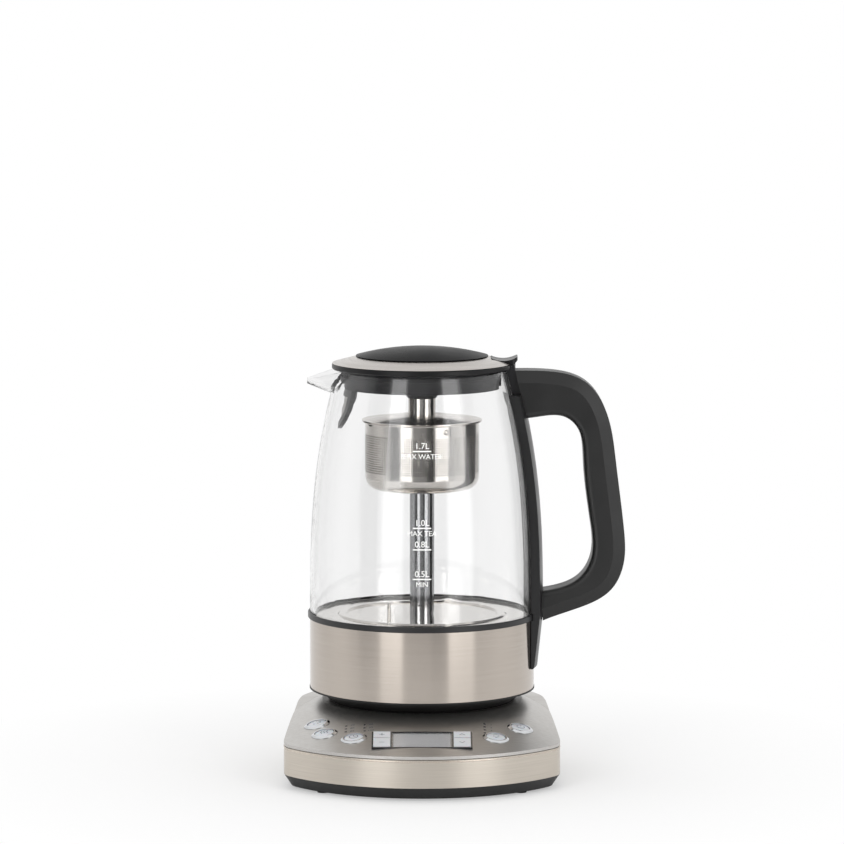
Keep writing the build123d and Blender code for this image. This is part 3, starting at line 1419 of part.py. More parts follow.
def filter_r(z):
    """Outer radius of the spout filter, which leans outwards towards its foot."""
    return FILTER_TOP_R + (FILTER_FOOT_R - FILTER_TOP_R) * (LID_PLUG_BOTTOM - z) / FILTER_DROP


def filter_outline(inset):
    """Prism through the filter's tongue: upright sides that round in to a tip, all drawn in by the inset."""
    half_w, shoulder = FILTER_HALF_W - inset, LID_PLUG_BOTTOM - FILTER_SHOULDER_H
    tip_depth = FILTER_DROP - FILTER_SHOULDER_H - inset
    top = LID_PLUG_BOTTOM - inset
    face = make_face(
        [
            Polyline((half_w, shoulder), (half_w, top), (-half_w, top), (-half_w, shoulder)),
            EllipticalCenterArc((0, shoulder), half_w, tip_depth, start_angle=180, arc_size=180),
        ]
    )
    return extrude(Plane.YZ * face, amount=-BIG)


def filter_sheet(outer, inner, inset):
    """The leaning curved tongue at the spout side; outer and inner are depths in from its face."""
    low, high = LID_PLUG_BOTTOM - FILTER_DROP, LID_PLUG_BOTTOM
    corners = [
        (filter_r(low) - inner, low),
        (filter_r(low) - outer, low),
        (filter_r(high) - outer, high),
        (filter_r(high) - inner, high),
    ]
    half_angle = math.degrees(math.asin(FILTER_HALF_W / (FILTER_TOP_R - FILTER_T - 1))) + 1
    sheet = revolve(Plane.XZ * face_of(corners), Axis.Z, revolution_arc=2 * half_angle)
    return Rot(0, 0, 180 - half_angle) * sheet & filter_outline(inset)


def spout_filter_frame():
    """Black tongue-shaped frame that hangs from the plug in front of the spout."""
    return filter_sheet(0, FILTER_T, 0) - filter_sheet(-1, FILTER_T + 1, FILTER_BORDER)


def spout_filter_mesh():
    """Fine steel gauze in the filter frame."""
    middle = FILTER_T / 2
    return filter_sheet(middle - FILTER_MESH_T / 2, middle + FILTER_MESH_T / 2, FILTER_BORDER)


# ---------------------------------------------------------------- handle


def handle_line(from_rim, from_collar):
    """Points of a handle outline, worked out from the body's side, the rim and the collar."""
    upper = [(BODY_R + x, RIM_Z + z) for x, z in from_rim]
    return upper + [(BODY_R + x, COLLAR_TOP_Z + z) for x, z in from_collar]


def beside_glass(out, high):
    """Everything inside a line that follows the glass and the band, out beyond them."""
    below = post(0, 0, BODY_R + out, -BIG, GLASS_FOOT)
    wall_zone = turned(glass_section(out, GLASS_FOOT, RIM_Z))
    above = post(0, 0, MOUTH_R + out, RIM_Z, max(high, RIM_Z + 1))
    return below + wall_zone + above


def strap_blank(out):
    """The strap's outer body: it follows the glass, then tapers along the band to its foot."""
    foot_r = BODY_R + STRAP_GAP + STRAP_FOOT_T
    upper = turned(glass_section(out, GLASS_FOOT, STRAP_TOP_Z))
    lower = lathe(
        (0, STRAP_FOOT_Z),
        (foot_r, STRAP_FOOT_Z),
        (foot_r + STRAP_FOOT_CHAMFER, STRAP_FOOT_Z + STRAP_FOOT_CHAMFER),
        (BODY_R + out, GLASS_FOOT),
        (0, GLASS_FOOT),
    )
    return upper + lower


def handle_strap():
    """Black strap that lies along the glass and the band and carries the handle."""
    strap = strap_blank(STRAP_OUT) - beside_glass(STRAP_GAP, RIM_Z)
    strap -= tube(COLLAR_R + STRAP_GAP, 0, JUG_BAND_TOP - STRAP_GAP, COLLAR_TOP_Z + STRAP_GAP)
    strap &= block(0, BIG, -STRAP_HALF_W, STRAP_HALF_W, 0, BIG)
    for x, z in handle_screw_spots()[:2]:
        here = Plane.YZ.offset(x) * Pos(0, z)
        strap -= along(here, HEAD_POCKET_R, -BIG / 2, SCREW_HEAD_H + HEAD_POCKET_FIT)
        strap -= along(here, SCREW_R + HEAD_POCKET_FIT, 0, BIG / 2)
    return strap


def handle_screw_spots():
    """(x of the screw's head face, height) of the lower, upper and clip screws."""
    lower = COLLAR_TOP_Z + LOWER_HANDLE_SCREW_RISE
    heights = [lower, RIM_Z - UPPER_HANDLE_SCREW_DROP, RIM_Z - CLIP_SCREW_DROP]
    return [(glass_r(z - SCREW_HEAD_R) + STRAP_GAP, z) for z in heights]


def handle_screws():
    """Three screws from the glass side into the handle."""
    screws = []
    for x, z in handle_screw_spots():
        here = Plane.YZ.offset(x) * Pos(0, z)
        end = SCREW_HEAD_H + HANDLE_SCREW_LENGTH
        screws.append(along(here, SCREW_HEAD_R, 0, SCREW_HEAD_H) + along(here, SCREW_R, SCREW_HEAD_H, end))
    return one(screws)


def shell_side_edges(shell):
    """Long edges of the shell's two sides, the window's first and the outer ones last."""
    beside = [e for e in shell.edges() if abs(e.center().Y) > SHELL_HALF_W / 2]
    return sorted([e for e in beside if e.length > 10 * SHELL_HALF_W], key=lambda e: e.bounding_box().max.X)


def handle_shell():
    """Black handle: a wide upper arm, a grip bowed outwards and a lower arm that meets the strap."""
    outer = handle_line(OUTER_FROM_RIM, OUTER_FROM_COLLAR)
    window = handle_line(WINDOW_FROM_RIM, WINDOW_FROM_COLLAR)
    root_x = BODY_R / 2
    side = make_face(
        [Spline(*outer), Polyline(outer[-1], (root_x, outer[-1][1]), (root_x, outer[0][1]), outer[0])]
    )
    opening = make_face(
        [Spline(*window), Polyline(window[-1], (root_x, window[-1][1]), (root_x, window[0][1]), window[0])]
    )
    shell = extrude(Plane.XZ * (side - opening), amount=SHELL_HALF_W, both=True)
    shell -= beside_glass(STRAP_OUT + SHELL_GAP, CLIP_TOP + 1)
    shell = fillet(shell_side_edges(shell)[:2], SHELL_ROUND)
    shell = chamfer(shell_side_edges(shell)[-2:], SHELL_BEVEL_W, SHELL_BEVEL_DEPTH)
    for x, z in handle_screw_spots():
        end = SCREW_HEAD_H + HANDLE_SCREW_LENGTH + SCREW_BITE
        shell -= along(Plane.YZ.offset(x) * Pos(0, z), SCREW_R + SCREW_BITE, 0, end)
    return shell


def handle_clip():
    """Hook over the glass rim: a leg outside, a bridge on top and a lug inside the mouth."""
    leg = beside_glass(STRAP_OUT, CLIP_TOP) - beside_glass(STRAP_GAP, RIM_Z)
    leg &= block(0, BIG, -CLIP_HALF_W, CLIP_HALF_W, STRAP_TOP_Z, CLIP_TOP)
    bridge_out = MOUTH_R + STRAP_OUT / 2
    bridge = block(CLIP_LUG_IN_R, bridge_out, -CLIP_HALF_W, CLIP_HALF_W, RIM_Z + LID_GAP, CLIP_TOP)
    lug = block(
        CLIP_LUG_IN_R, CLIP_LUG_OUT_R, -CLIP_LUG_HALF_W, CLIP_LUG_HALF_W, RIM_Z - CLIP_LUG_DROP, CLIP_TOP
    )
    clip = leg - post(0, 0, MOUTH_R + STRAP_GAP, RIM_Z - 1, CLIP_TOP) + bridge + lug
    x, z = handle_screw_spots()[2]
    here = Plane.YZ.offset(x) * Pos(0, z)
    clip -= along(here, HEAD_POCKET_R, -HEAD_POCKET_FIT - STRAP_GAP, SCREW_HEAD_H + HEAD_POCKET_FIT)
    return clip - along(here, SCREW_R + HEAD_POCKET_FIT, 0, 2 * STRAP_OUT)


# ---------------------------------------------------------------- files

BASE_NODES = {
    "base_top_plate": base_top_plate,
    "base_side_band": base_side_band,
    "base_bottom_cover": base_bottom_cover,
    "base_feet": base_feet,
    "base_screws": base_screws,
    "cord_gland": cord_gland,
    "control_board": control_board,
    "button_switches": button_switches,
    "button_bezels": button_bezels,
    "keypad_frame": keypad_frame,
    "display_window": display_window,
    "display_module": display_module,
    "indicator_leds": indicator_leds,
}
PLATFORM_NODES = {
    "connector_dish": connector_dish,
    "connector_body": connector_body,
    "connector_contacts": connector_contacts,
    "kettle_socket": kettle_socket,
    "socket_contacts": socket_contacts,
    "jug_base_cover": jug_base_cover,
    "steel_band": steel_band,
    "jug_collar": jug_collar,
    "heating_plate": heating_plate,
    "jug_seal": jug_seal,
    "heating_element": heating_element,
    "temperature_probe": temperature_probe,
    "glass_jug": glass_jug,
    "column_tube": column_tube,
    "column_bush": column_bush,
    "lift_motor": lift_motor,
    "lead_screw": lead_screw,
    "lift_nut": lift_nut,
    "lift_rod": lift_rod,
    "tea_basket": tea_basket,
    "basket_sleeve": basket_sleeve,
    "infuser_cover": infuser_cover,
    "infuser_neck": infuser_neck,
    "infuser_knob": infuser_knob,
    "neck_stop": neck_stop,
    "lid_rim": lid_rim,
    "lid_steel_ring": lid_steel_ring,
    "lid_dome": lid_dome,
    "lid_plug": lid_plug,
    "lid_gasket": lid_gasket,
    "lid_screws": lid_screws,
    "spout_filter_frame": spout_filter_frame,
    "spout_filter_mesh": spout_filter_mesh,
    "handle_strap": handle_strap,
    "handle_shell": handle_shell,
    "handle_clip": handle_clip,
    "handle_screws": handle_screws,
}

os.makedirs("parts", exist_ok=True)
for name, make in BASE_NODES.items():
    export_step(make(), f"parts/{name}.step")
for name, make in PLATFORM_NODES.items():
    export_step(Pos(0, 0, PLATFORM_Z) * make(), f"parts/{name}.step")
for number, (x, y) in enumerate(BUTTON_SPOTS, 1):
    export_step(round_button(x, y), f"parts/round_button_{number}.step")
for number, (x, y, depth) in enumerate(KEY_PLACES, 1):
    export_step(panel_key(x, y, depth), f"parts/panel_key_{number}.step")
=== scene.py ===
import math

import bmesh
import bpy
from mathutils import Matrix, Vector


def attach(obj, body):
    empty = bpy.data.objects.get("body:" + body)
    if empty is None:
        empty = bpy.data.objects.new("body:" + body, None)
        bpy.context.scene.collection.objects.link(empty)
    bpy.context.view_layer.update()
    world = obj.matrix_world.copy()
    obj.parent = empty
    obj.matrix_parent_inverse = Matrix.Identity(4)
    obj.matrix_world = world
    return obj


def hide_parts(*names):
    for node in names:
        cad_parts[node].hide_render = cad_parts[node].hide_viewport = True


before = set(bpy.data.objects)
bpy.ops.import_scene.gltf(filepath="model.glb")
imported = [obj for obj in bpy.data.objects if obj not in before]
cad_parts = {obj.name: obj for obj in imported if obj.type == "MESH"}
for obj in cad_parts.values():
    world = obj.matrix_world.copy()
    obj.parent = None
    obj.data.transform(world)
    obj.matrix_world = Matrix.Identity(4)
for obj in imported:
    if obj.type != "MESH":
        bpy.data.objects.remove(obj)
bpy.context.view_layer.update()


# ------------------------------------------------------------ base tray, feet and grommet
# The base stands on four rubber pads glued under a tray of black ABS. The tray is injection
# moulded in a tool with a fine spark finish, so it is satin all over, and its side slopes in so
# that only a dark line shows from above.

MM = 0.001  # pieces are drawn in millimetres and Blender's unit is the metre
RUBBED_MM = 22.2  # width of the patches that hands and cloths have rubbed
GRAIN_LOW, GRAIN_HIGH = 0.35, 0.65  # most of a noise texture lies between these


def linear(text):
    """An sRGB hex colour as the linear RGBA that a socket takes."""
    parts = [int(text[i : i + 2], 16) / 255 for i in (1, 3, 5)]
    return [c / 12.92 if c <= 0.04045 else ((c + 0.055) / 1.055) ** 2.4 for c in parts] + [1.0]


def add(tree, kind, links=None, **settings):
    """Adds a node; links maps an input to the socket that feeds it or to its plain value."""
    made = tree.nodes.new(kind)
    for key, value in settings.items():
        setattr(made, key, value)
    for key, value in (links or {}).items():
        if isinstance(value, bpy.types.NodeSocket):
            tree.links.new(value, made.inputs[key])
        else:
            made.inputs[key].default_value = value
    return made


def finish(name, hex_colour, roughness, metallic=0.0, **sockets):
    """A surface finish of one colour; sockets names further shader inputs, with underscores for
    spaces."""
    made = bpy.data.materials.new(name)
    made.use_nodes = True
    shader = made.node_tree.nodes["Principled BSDF"]
    shader.inputs["Base Color"].default_value = linear(hex_colour)
    shader.inputs["Roughness"].default_value = roughness
    shader.inputs["Metallic"].default_value = metallic
    for key, value in sockets.items():
        shader.inputs[key.replace("_", " ")].default_value = value
    return made


def grained(made, grain_mm, depth_mm, uneven):
    """Grain left by the moulding tool or the buffing wheel: small bumps, and a gloss that
    differs from place to place, as it does where hands have rubbed it."""
    tree = made.node_tree
    shader = tree.nodes["Principled BSDF"]
    place = add(tree, "ShaderNodeTexCoord").outputs["Object"]
    bumps = add(tree, "ShaderNodeTexNoise", {
        "Vector": place, "Scale": 1 / (grain_mm * MM), "Detail": 2.0,
    })
    rubbed = add(tree, "ShaderNodeTexNoise", {
        "Vector": place, "Scale": 1 / (RUBBED_MM * MM), "Detail": 3.0,
    })
    middle = shader.inputs["Roughness"].default_value
    gloss = add(tree, "ShaderNodeMapRange", {
        "Value": rubbed.outputs["Fac"], "From Min": GRAIN_LOW, "From Max": GRAIN_HIGH,
        "To Min": middle - uneven, "To Max": middle + uneven,
    })
    tree.links.new(gloss.outputs["Result"], shader.inputs["Roughness"])
    raised = add(tree, "ShaderNodeBump", {
        "Height": bumps.outputs["Fac"], "Strength": 0.35, "Distance": depth_mm * MM,
    })
    tree.links.new(raised.outputs["Normal"], shader.inputs["Normal"])
    return made


def dress(made, *nodes):
    """Gives solids of the frame a finish."""
    for name in nodes:
        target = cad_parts[name]
        if not target.data.materials:
            target.data.materials.append(made)
        for slot in target.material_slots:
            slot.material = made


# Moulded ABS: the grain spreads each reflection, so the black lifts a little in the light
black_abs = grained(
    finish("black_abs", "#191919", 0.48), grain_mm=0.5, depth_mm=0.03, uneven=0.05
)
# Moulded rubber: dead flat
pad_rubber = grained(
    finish("pad_rubber", "#151515", 0.8), grain_mm=0.8, depth_mm=0.05, uneven=0.05
)
dress(black_abs, "base_bottom_cover")
dress(pad_rubber, "base_feet", "cord_gland")


# ------------------------------------------------------------ side band
# A strip of stainless steel with a warm champagne tint, belt brushed along its length, bent
# round the base and rolled in at its upper edge. The roll is a bright line just under the dark
# seam of the top plate, from its round shape and gloss and from a painted highlight in its paler
# colour.

SCRATCH_LOW, SCRATCH_HIGH = 0.32, 0.68  # most of the finer noise lies between these
SCRATCH_DEPTH_MM = 0.008


def brushed(made, streak_mm, shade, uneven, stretch=0.0):
    """Belt brushing: streak_mm is how far a scratch runs along X, Y and Z before the next one
    starts. The scratches are drawn a few times coarser than the belt's grit so that they show."""
    tree = made.node_tree
    shader = tree.nodes["Principled BSDF"]
    place = add(tree, "ShaderNodeTexCoord").outputs["Object"]
    closeness = [1 / (length * MM) for length in streak_mm]
    run = add(tree, "ShaderNodeVectorMath", {0: place, 1: closeness}, operation="MULTIPLY")
    scratches = add(tree, "ShaderNodeTexNoise", {
        "Vector": run.outputs["Vector"], "Scale": 1.0, "Detail": 5.0,
    }).outputs["Fac"]
    spread = add(tree, "ShaderNodeMapRange", {
        "Value": scratches, "From Min": SCRATCH_LOW, "From Max": SCRATCH_HIGH,
    })
    bright = tuple(shader.inputs["Base Color"].default_value)
    tone = add(tree, "ShaderNodeMix", {
        0: spread.outputs["Result"], 6: linear(shade), 7: bright,
    }, data_type="RGBA")
    tree.links.new(tone.outputs[2], shader.inputs["Base Color"])
    middle = shader.inputs["Roughness"].default_value
    gloss = add(tree, "ShaderNodeMapRange", {
        "Value": scratches, "From Min": SCRATCH_LOW, "From Max": SCRATCH_HIGH,
        "To Min": middle + uneven, "To Max": middle - uneven,
    })
    tree.links.new(gloss.outputs["Result"], shader.inputs["Roughness"])
    raised = add(tree, "ShaderNodeBump", {
        "Height": scratches, "Strength": 0.12, "Distance": SCRATCH_DEPTH_MM * MM,
    })
    tree.links.new(raised.outputs["Normal"], shader.inputs["Normal"])
    if stretch:
        # Scratches that run round the piece stretch each highlight up and down it
        around_z = add(tree, "ShaderNodeTangent", direction_type="RADIAL", axis="Z")
        tree.links.new(around_z.outputs["Tangent"], shader.inputs["Tangent"])
        shader.inputs["Anisotropic"].default_value = stretch
        shader.inputs["Anisotropic Rotation"].default_value = 0.25
    return made


# Brushed steel: soft streaks along the strip, and highlights that fade out up and down it
champagne_steel = brushed(
    finish("champagne_steel", "#D2CABF", 0.33, 1.0),
    streak_mm=(45, 45, 0.5), shade="#CAC2B7", uneven=0.03, stretch=0.5,
)
dress(champagne_steel, "base_side_band")

# Plan of the base: a round back, sides that lean out, and a bowed front with round corners
BACK_R, FRONT_R, CORNER_R, BOW_Y, SIDE_LEAN = 84.0, 108.0, 20.0, -28.0, math.radians(4.3)
SIDE_STEPS, CORNER_STEPS, BOW_STEPS, BACK_STEPS = 8, 10, 12, 48
# The panel is a slanting cone between the seat's edge and the front edge
SEAT_Z, SEAT_R, PANEL_FALL = 45.0, 67.0, 15.3
# Behind it lies the deck, level at the back and falling forwards from DECK_BREAK_Y
DECK_Z, DECK_BREAK_Y, DECK_FALL = 42.5, 22.0, math.tan(math.radians(7.0))


def cone_share(x, y):
    """How far down the cone a plan point lies: 0 at the seat's edge, 1 at the front edge."""
    growth = FRONT_R - SEAT_R
    a = BOW_Y**2 - growth**2
    b = 2 * (-BOW_Y * y - SEAT_R * growth)
    c = x * x + y * y - SEAT_R**2
    return (-b - math.sqrt(b * b - 4 * a * c)) / (2 * a)


def top_z(x, y):
    """Height of the top plate's surface over a plan point."""
    cone = SEAT_Z - PANEL_FALL * max(cone_share(x, y), 0.0)
    return max(cone, DECK_Z - max(DECK_BREAK_Y - y, 0.0) * DECK_FALL)


def bend(middle, radius, start, end, steps):
    """Points along an arc of the plan with their outward directions."""
    bent = []
    for i in range(steps + 1):
        turn = start + (end - start) * i / steps
        outward = Vector((math.cos(turn), math.sin(turn)))
        bent.append((middle + outward * radius, outward))
    return bent


def base_plan():
    """Points round the base with their outward directions: from the right side's rear end
    forwards, along the bow, back along the left side and round the back."""
    normal = Vector((math.cos(SIDE_LEAN), math.sin(SIDE_LEAN)))  # of the right side
    along = Vector((-normal.y, normal.x))
    # The corner's centre lies CORNER_R inside both the side and the bow
    foot = normal * (BACK_R - CORNER_R)
    to_bow = Vector((0, BOW_Y)) - foot
    step = to_bow.dot(along)
    reach = math.sqrt((FRONT_R - CORNER_R) ** 2 - (to_bow - along * step).length_squared)
    centre = foot + along * (step - reach)
    bow_angle = math.atan2(centre.y - BOW_Y, centre.x)
    rear = normal * BACK_R
    to_front = centre + normal * CORNER_R - rear
    half = [(rear + to_front * i / SIDE_STEPS, normal) for i in range(SIDE_STEPS)]
    half += bend(centre, CORNER_R, SIDE_LEAN, bow_angle, CORNER_STEPS)
    half += bend(Vector((0, BOW_Y)), FRONT_R, bow_angle, -math.pi / 2, BOW_STEPS)[1:]
    mirrored = [(Vector((-p.x, p.y)), Vector((-n.x, n.y))) for p, n in reversed(half[:-1])]
    back = bend(Vector((0, 0)), BACK_R, math.pi - SIDE_LEAN, SIDE_LEAN, BACK_STEPS)[1:-1]
    return half + mirrored + back


def piece(name, points, faces, made, body, slot, smooth=False):
    """A mesh from points in millimetres, riding on a body."""
    mesh = bpy.data.meshes.new(name)
    mesh.from_pydata([Vector(p) * MM for p in points], [], faces)
    mesh.materials.append(made)
    mesh.polygons.foreach_set("use_smooth", [smooth] * len(mesh.polygons))
    mesh.validate()
    thing = bpy.data.objects.new(name, mesh)
    bpy.context.scene.collection.objects.link(thing)
    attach(thing, body)
    return thing


# The roll's radius, its top below the plate's surface, and its crest proud of the strip
ROLL_R, SEAM, ROLL_PROUD, ROLL_SIDES = 0.9, 2.6, 0.18, 10
JUST_INSIDE = 0.999  # the plate's height is taken a little inside its edge
roll_points, roll_faces = [], []
plan = base_plan()
for spot, outward in plan:
    middle_z = top_z(spot.x * JUST_INSIDE, spot.y * JUST_INSIDE) - SEAM - ROLL_R
    for side in range(ROLL_SIDES):
        turn = math.tau * side / ROLL_SIDES
        out = ROLL_R * math.cos(turn) - ROLL_R + ROLL_PROUD
        roll_points.append((*(spot + outward * out), middle_z + ROLL_R * math.sin(turn)))
for i in range(len(plan)):
    here, there = ROLL_SIDES * i, ROLL_SIDES * ((i + 1) % len(plan))
    for side in range(ROLL_SIDES):
        after = (side + 1) % ROLL_SIDES
        roll_faces.append((here + side, here + after, there + after, there + side))
# Rolled edge: the belt has polished its crest, so it is glossier than the strip, and its colour is
# set paler than the strip's as a painted highlight
rolled_edge = brushed(
    finish("rolled_edge", "#DAD0C4", 0.24, 1.0),
    streak_mm=(30, 30, 0.6), shade="#C9BDB0", uneven=0.04,
)
piece("side_band_roll", roll_points, roll_faces, rolled_edge, "base", "band_steel", smooth=True)


# ------------------------------------------------------------ works inside the base
# Under the top plate hang a circuit board of glass fibre laminate and nine moulded push
# switches, and screws clamp plate, band and tray together. They are seen only when the base is
# opened.

# Solder mask over laminate: green and half glossy
board_laminate = grained(
    finish("board_laminate", "#2F5A3C", 0.45), grain_mm=1.2, depth_mm=0.02, uneven=0.05
)
# Moulded nylon: a soft black
switch_nylon = grained(
    finish("switch_nylon", "#2A2A2C", 0.5), grain_mm=0.5, depth_mm=0.02, uneven=0.04
)
# Zinc plating over cold formed steel: left bright, with small marks
zinc_plate = brushed(
    finish("zinc_plate", "#A2A19D", 0.3, 1.0), streak_mm=(2, 2, 0.4), shade="#8E8D8A", uneven=0.05
)
dress(board_laminate, "control_board")
dress(switch_nylon, "button_switches")
dress(zinc_plate, "base_screws")


# ------------------------------------------------------------ top plate
# Pressed stainless steel, brushed from side to side, that forms the seat, the deck and the
# control panel in one sheet.

# Brushed steel: a cool satin grey with faint long streaks
plate_steel = brushed(
    finish("plate_steel", "#CDCBC8", 0.38, 1.0),
    streak_mm=(50, 0.7, 0.7), shade="#C4C1BD", uneven=0.04,
)
dress(plate_steel, "base_top_plate")


# ------------------------------------------------------------ round buttons
# Five domed caps of pale blue-grey ABS, each in a turned and chromed ring that stands out of
# the panel. Their signs are pad printed in grey: brew, keep warm, clock, infuser up and down,
# and power.

# Chrome plating: a mirror over the ring's turned shape
chrome_plate = grained(
    finish("chrome_plate", "#D6D8DA", 0.10, 1.0), grain_mm=2.5, depth_mm=0.002, uneven=0.03
)
# Light-guiding ABS: light goes a little way in, which softens its shading
cap_abs = grained(
    finish(
        "cap_abs", "#CFD2D7", 0.3, Subsurface_Weight=0.15, Subsurface_Scale=0.002,
        Coat_Weight=0.35, Coat_Roughness=0.12,
    ),
    grain_mm=0.6, depth_mm=0.004, uneven=0.04,
)
# Pad printing ink: flat, opaque and grey
pad_print = grained(
    finish("pad_print", "#5A606A", 0.6), grain_mm=0.4, depth_mm=0.005, uneven=0.04
)
dress(chrome_plate, "button_bezels")

BUTTON_SPOTS = [(-69.0, -64.0), (-63.7, -84.8), (-44.3, -100.0), (48.0, -98.0), (64.3, -74.6)]
CAP_R, CAP_EDGE, CAP_TOP = 6.15, 0.7, 1.6  # its radius, and how far its edge and top stand out
PRINT_LIFT, PRINT_LINE = 0.04, 0.5  # how far print stands off its surface, and a line's width
# A wavy line: half its height, the step between its points, its swing and its turn for each mm
STEAM_HALF, STEAM_STEP, STEAM_SWING, STEAM_TURN = 2.2, 0.4, 0.5, 2.2


def arc(x, y, radius, start, end, steps=18):
    """Points along a circle's arc, its angles in degrees from the right."""
    turns = [math.radians(start + (end - start) * i / steps) for i in range(steps + 1)]
    return [(x + radius * math.cos(t), y + radius * math.sin(t)) for t in turns]


def steam(x):
    """Points of a wavy line that rises past the sign's middle."""
    heights = [STEAM_STEP * i - STEAM_HALF for i in range(round(2 * STEAM_HALF / STEAM_STEP) + 1)]
    return [(x + STEAM_SWING * math.sin(STEAM_TURN * (y + STEAM_HALF)), y) for y in heights]


# The drawn lines of each sign, from the cap's middle
MUG = [(-2.5, 1.4), (-1.9, -2.0), (1.1, -2.0), (1.7, 1.4), (-2.5, 1.4)]
BREW = [MUG, arc(1.5, -0.2, 1.2, 75, -75), steam(-0.4)[8:]]  # over the mug, only its upper end
KEEP_WARM = [steam(-1.9), steam(0.0), steam(1.9)]
CLOCK = [arc(0, 0, 2.8, 0, 360, 28), [(0, 1.9), (0, 0), (1.4, -0.7)]]
UP_AND_DOWN = [[(-1.9, 0.8), (0, 2.6), (1.9, 0.8)], [(-1.9, -0.8), (0, -2.6), (1.9, -0.8)]]
POWER = [arc(0, -0.2, 2.5, 125, 415, 24), [(0, 0.5), (0, 3.1)]]
BUTTON_SIGNS = [BREW, KEEP_WARM, CLOCK, UP_AND_DOWN, POWER]
MEETING = 1e-6  # a line whose ends are nearer than this is closed
MITRE = 0.5  # the least cosine that a corner is mitred for, so that none runs far out


def strokes(lines, width):
    """Outlines of drawn lines of one width, as flat points and faces, mitred where a line
    turns."""
    points, faces = [], []
    for line in lines:
        spots = [Vector(p) for p in line]
        closed = (spots[0] - spots[-1]).length < MEETING
        for i, spot in enumerate(spots):
            before = spots[i - 1] if i else (spots[-2] if closed else None)
            after = spots[i + 1] if i + 1 < len(spots) else (spots[1] if closed else None)
            runs = ((before, spot), (spot, after))
            ways = [(b - a).normalized() for a, b in runs if a is not None and b is not None]
            way = (ways[0] + ways[-1]).normalized()
            across = Vector((-way.y, way.x)) * width / 2 / max(way.dot(ways[0]), MITRE)
            points += [tuple(spot + across), tuple(spot - across)]
            if i:
                last = len(points)
                faces.append((last - 4, last - 3, last - 1, last - 2))
    return points, faces


def panel_frame(x, y):
    """Origin, right, up and outward directions of the panel's surface at a plan point."""
    share = cone_share(x, y)
    growth = FRONT_R - SEAT_R
    rise = (growth * (SEAT_R + growth * share) + BOW_Y * (y - BOW_Y * share)) / PANEL_FALL
    outward = Vector((x, y - BOW_Y * share, rise)).normalized()
    right = Vector((rise, 0, -x)).normalized()
    return Vector((x, y, SEAT_Z - PANEL_FALL * share)), right, outward.cross(right), outward


def cap_height(radius):
    """How far the domed cap stands out of the panel at a distance from its middle."""
    ball = (CAP_R**2 + (CAP_TOP - CAP_EDGE) ** 2) / (2 * (CAP_TOP - CAP_EDGE))
    return CAP_TOP - ball + math.sqrt(ball**2 - radius**2)


for number, (spot, sign) in enumerate(zip(BUTTON_SPOTS, BUTTON_SIGNS), 1):
    dress(cap_abs, f"round_button_{number}")
    origin, right, up, outward = panel_frame(*spot)
    flat, faces = strokes(sign, PRINT_LINE)
    lifted = [
        origin + right * u + up * v + outward * (cap_height(math.hypot(u, v)) + PRINT_LIFT)
        for u, v in flat
    ]
    piece(f"button_sign_{number}", lifted, faces, pad_print, f"button_{number}", "switch_black")


# ------------------------------------------------------------ display and keys
# A liquid crystal display behind an acrylic lens, with two keys on each side, held in one
# glossy black frame. The keys are the caps' pale ABS with printed signs for more, less, and the
# infuser up and down.

# ABS from a polished tool: black, with a clear reflection
frame_gloss = grained(
    finish("frame_gloss", "#1B1B1D", 0.2, Coat_Weight=0.3),
    grain_mm=1.0, depth_mm=0.004, uneven=0.03,
)
# The caps' ABS, a shade paler and less glossy
key_abs = grained(
    finish(
        "key_abs", "#D2D5D9", 0.32, Subsurface_Weight=0.1, Subsurface_Scale=0.002,
        Coat_Weight=0.25, Coat_Roughness=0.12,
    ),
    grain_mm=0.6, depth_mm=0.004, uneven=0.04,
)
# Cast acrylic: clear, with the room's reflection over the grey of the switched-off display
lens_acrylic = finish("lens_acrylic", "#F0F1F3", 0.05, Transmission_Weight=0.9, IOR=1.49)
# Polarising film: an even grey with hardly any gloss
display_film = grained(
    finish("display_film", "#CFCFD0", 0.4), grain_mm=1.5, depth_mm=0.003, uneven=0.04
)
dress(frame_gloss, "keypad_frame")
dress(lens_acrylic, "display_window")
dress(display_film, "display_module")

FRAME_SPOT, FRAME_SINK, FRAME_RIB = (0.0, -108.0), 0.4, 0.8
DISPLAY_W, DISPLAY_D = 39.0, 25.0
KEY_W, REAR_KEY_D, KEY_TOP = 11.4, 10.2, 1.0
key_x = DISPLAY_W / 2 + FRAME_RIB + KEY_W / 2
rear_y, front_y = (DISPLAY_D - REAR_KEY_D) / 2, -(REAR_KEY_D + FRAME_RIB) / 2
# Where each key lies in the frame, and its sign: more, less, infuser up and infuser down
KEY_SIGNS = [
    (-key_x, rear_y, [[(-1.7, 0), (1.7, 0)], [(0, -1.7), (0, 1.7)]]),
    (-key_x, front_y, [[(-1.7, 0), (1.7, 0)]]),
    (key_x, rear_y, [[(-1.8, -0.9), (0, 1.0), (1.8, -0.9)]]),
    (key_x, front_y, [[(-1.8, 0.9), (0, -1.0), (1.8, 0.9)]]),
]
origin, right, up, outward = panel_frame(*FRAME_SPOT)
origin -= outward * FRAME_SINK
for number, (x, y, sign) in enumerate(KEY_SIGNS, 1):
    dress(key_abs, f"panel_key_{number}")
    flat, faces = strokes(sign, PRINT_LINE)
    lifted = [
        origin + right * (x + u) + up * (y + v) + outward * (KEY_TOP + PRINT_LIFT)
        for u, v in flat
    ]
    piece(f"key_sign_{number}", lifted, faces, pad_print, f"key_{number}", "switch_black")


# ------------------------------------------------------------ indicator lights
# Ten acrylic light pipes pressed through the panel, in three columns. Beside each one is what
# it stands for, printed small: water temperatures in the two left columns and cups in the
# right one.

# Smoked acrylic: nearly black while its lamp is off, with a polished end
pipe_acrylic = grained(
    finish("pipe_acrylic", "#3C3D40", 0.2, Coat_Weight=0.3),
    grain_mm=0.8, depth_mm=0.003, uneven=0.04,
)
dress(pipe_acrylic, "indicator_leds")


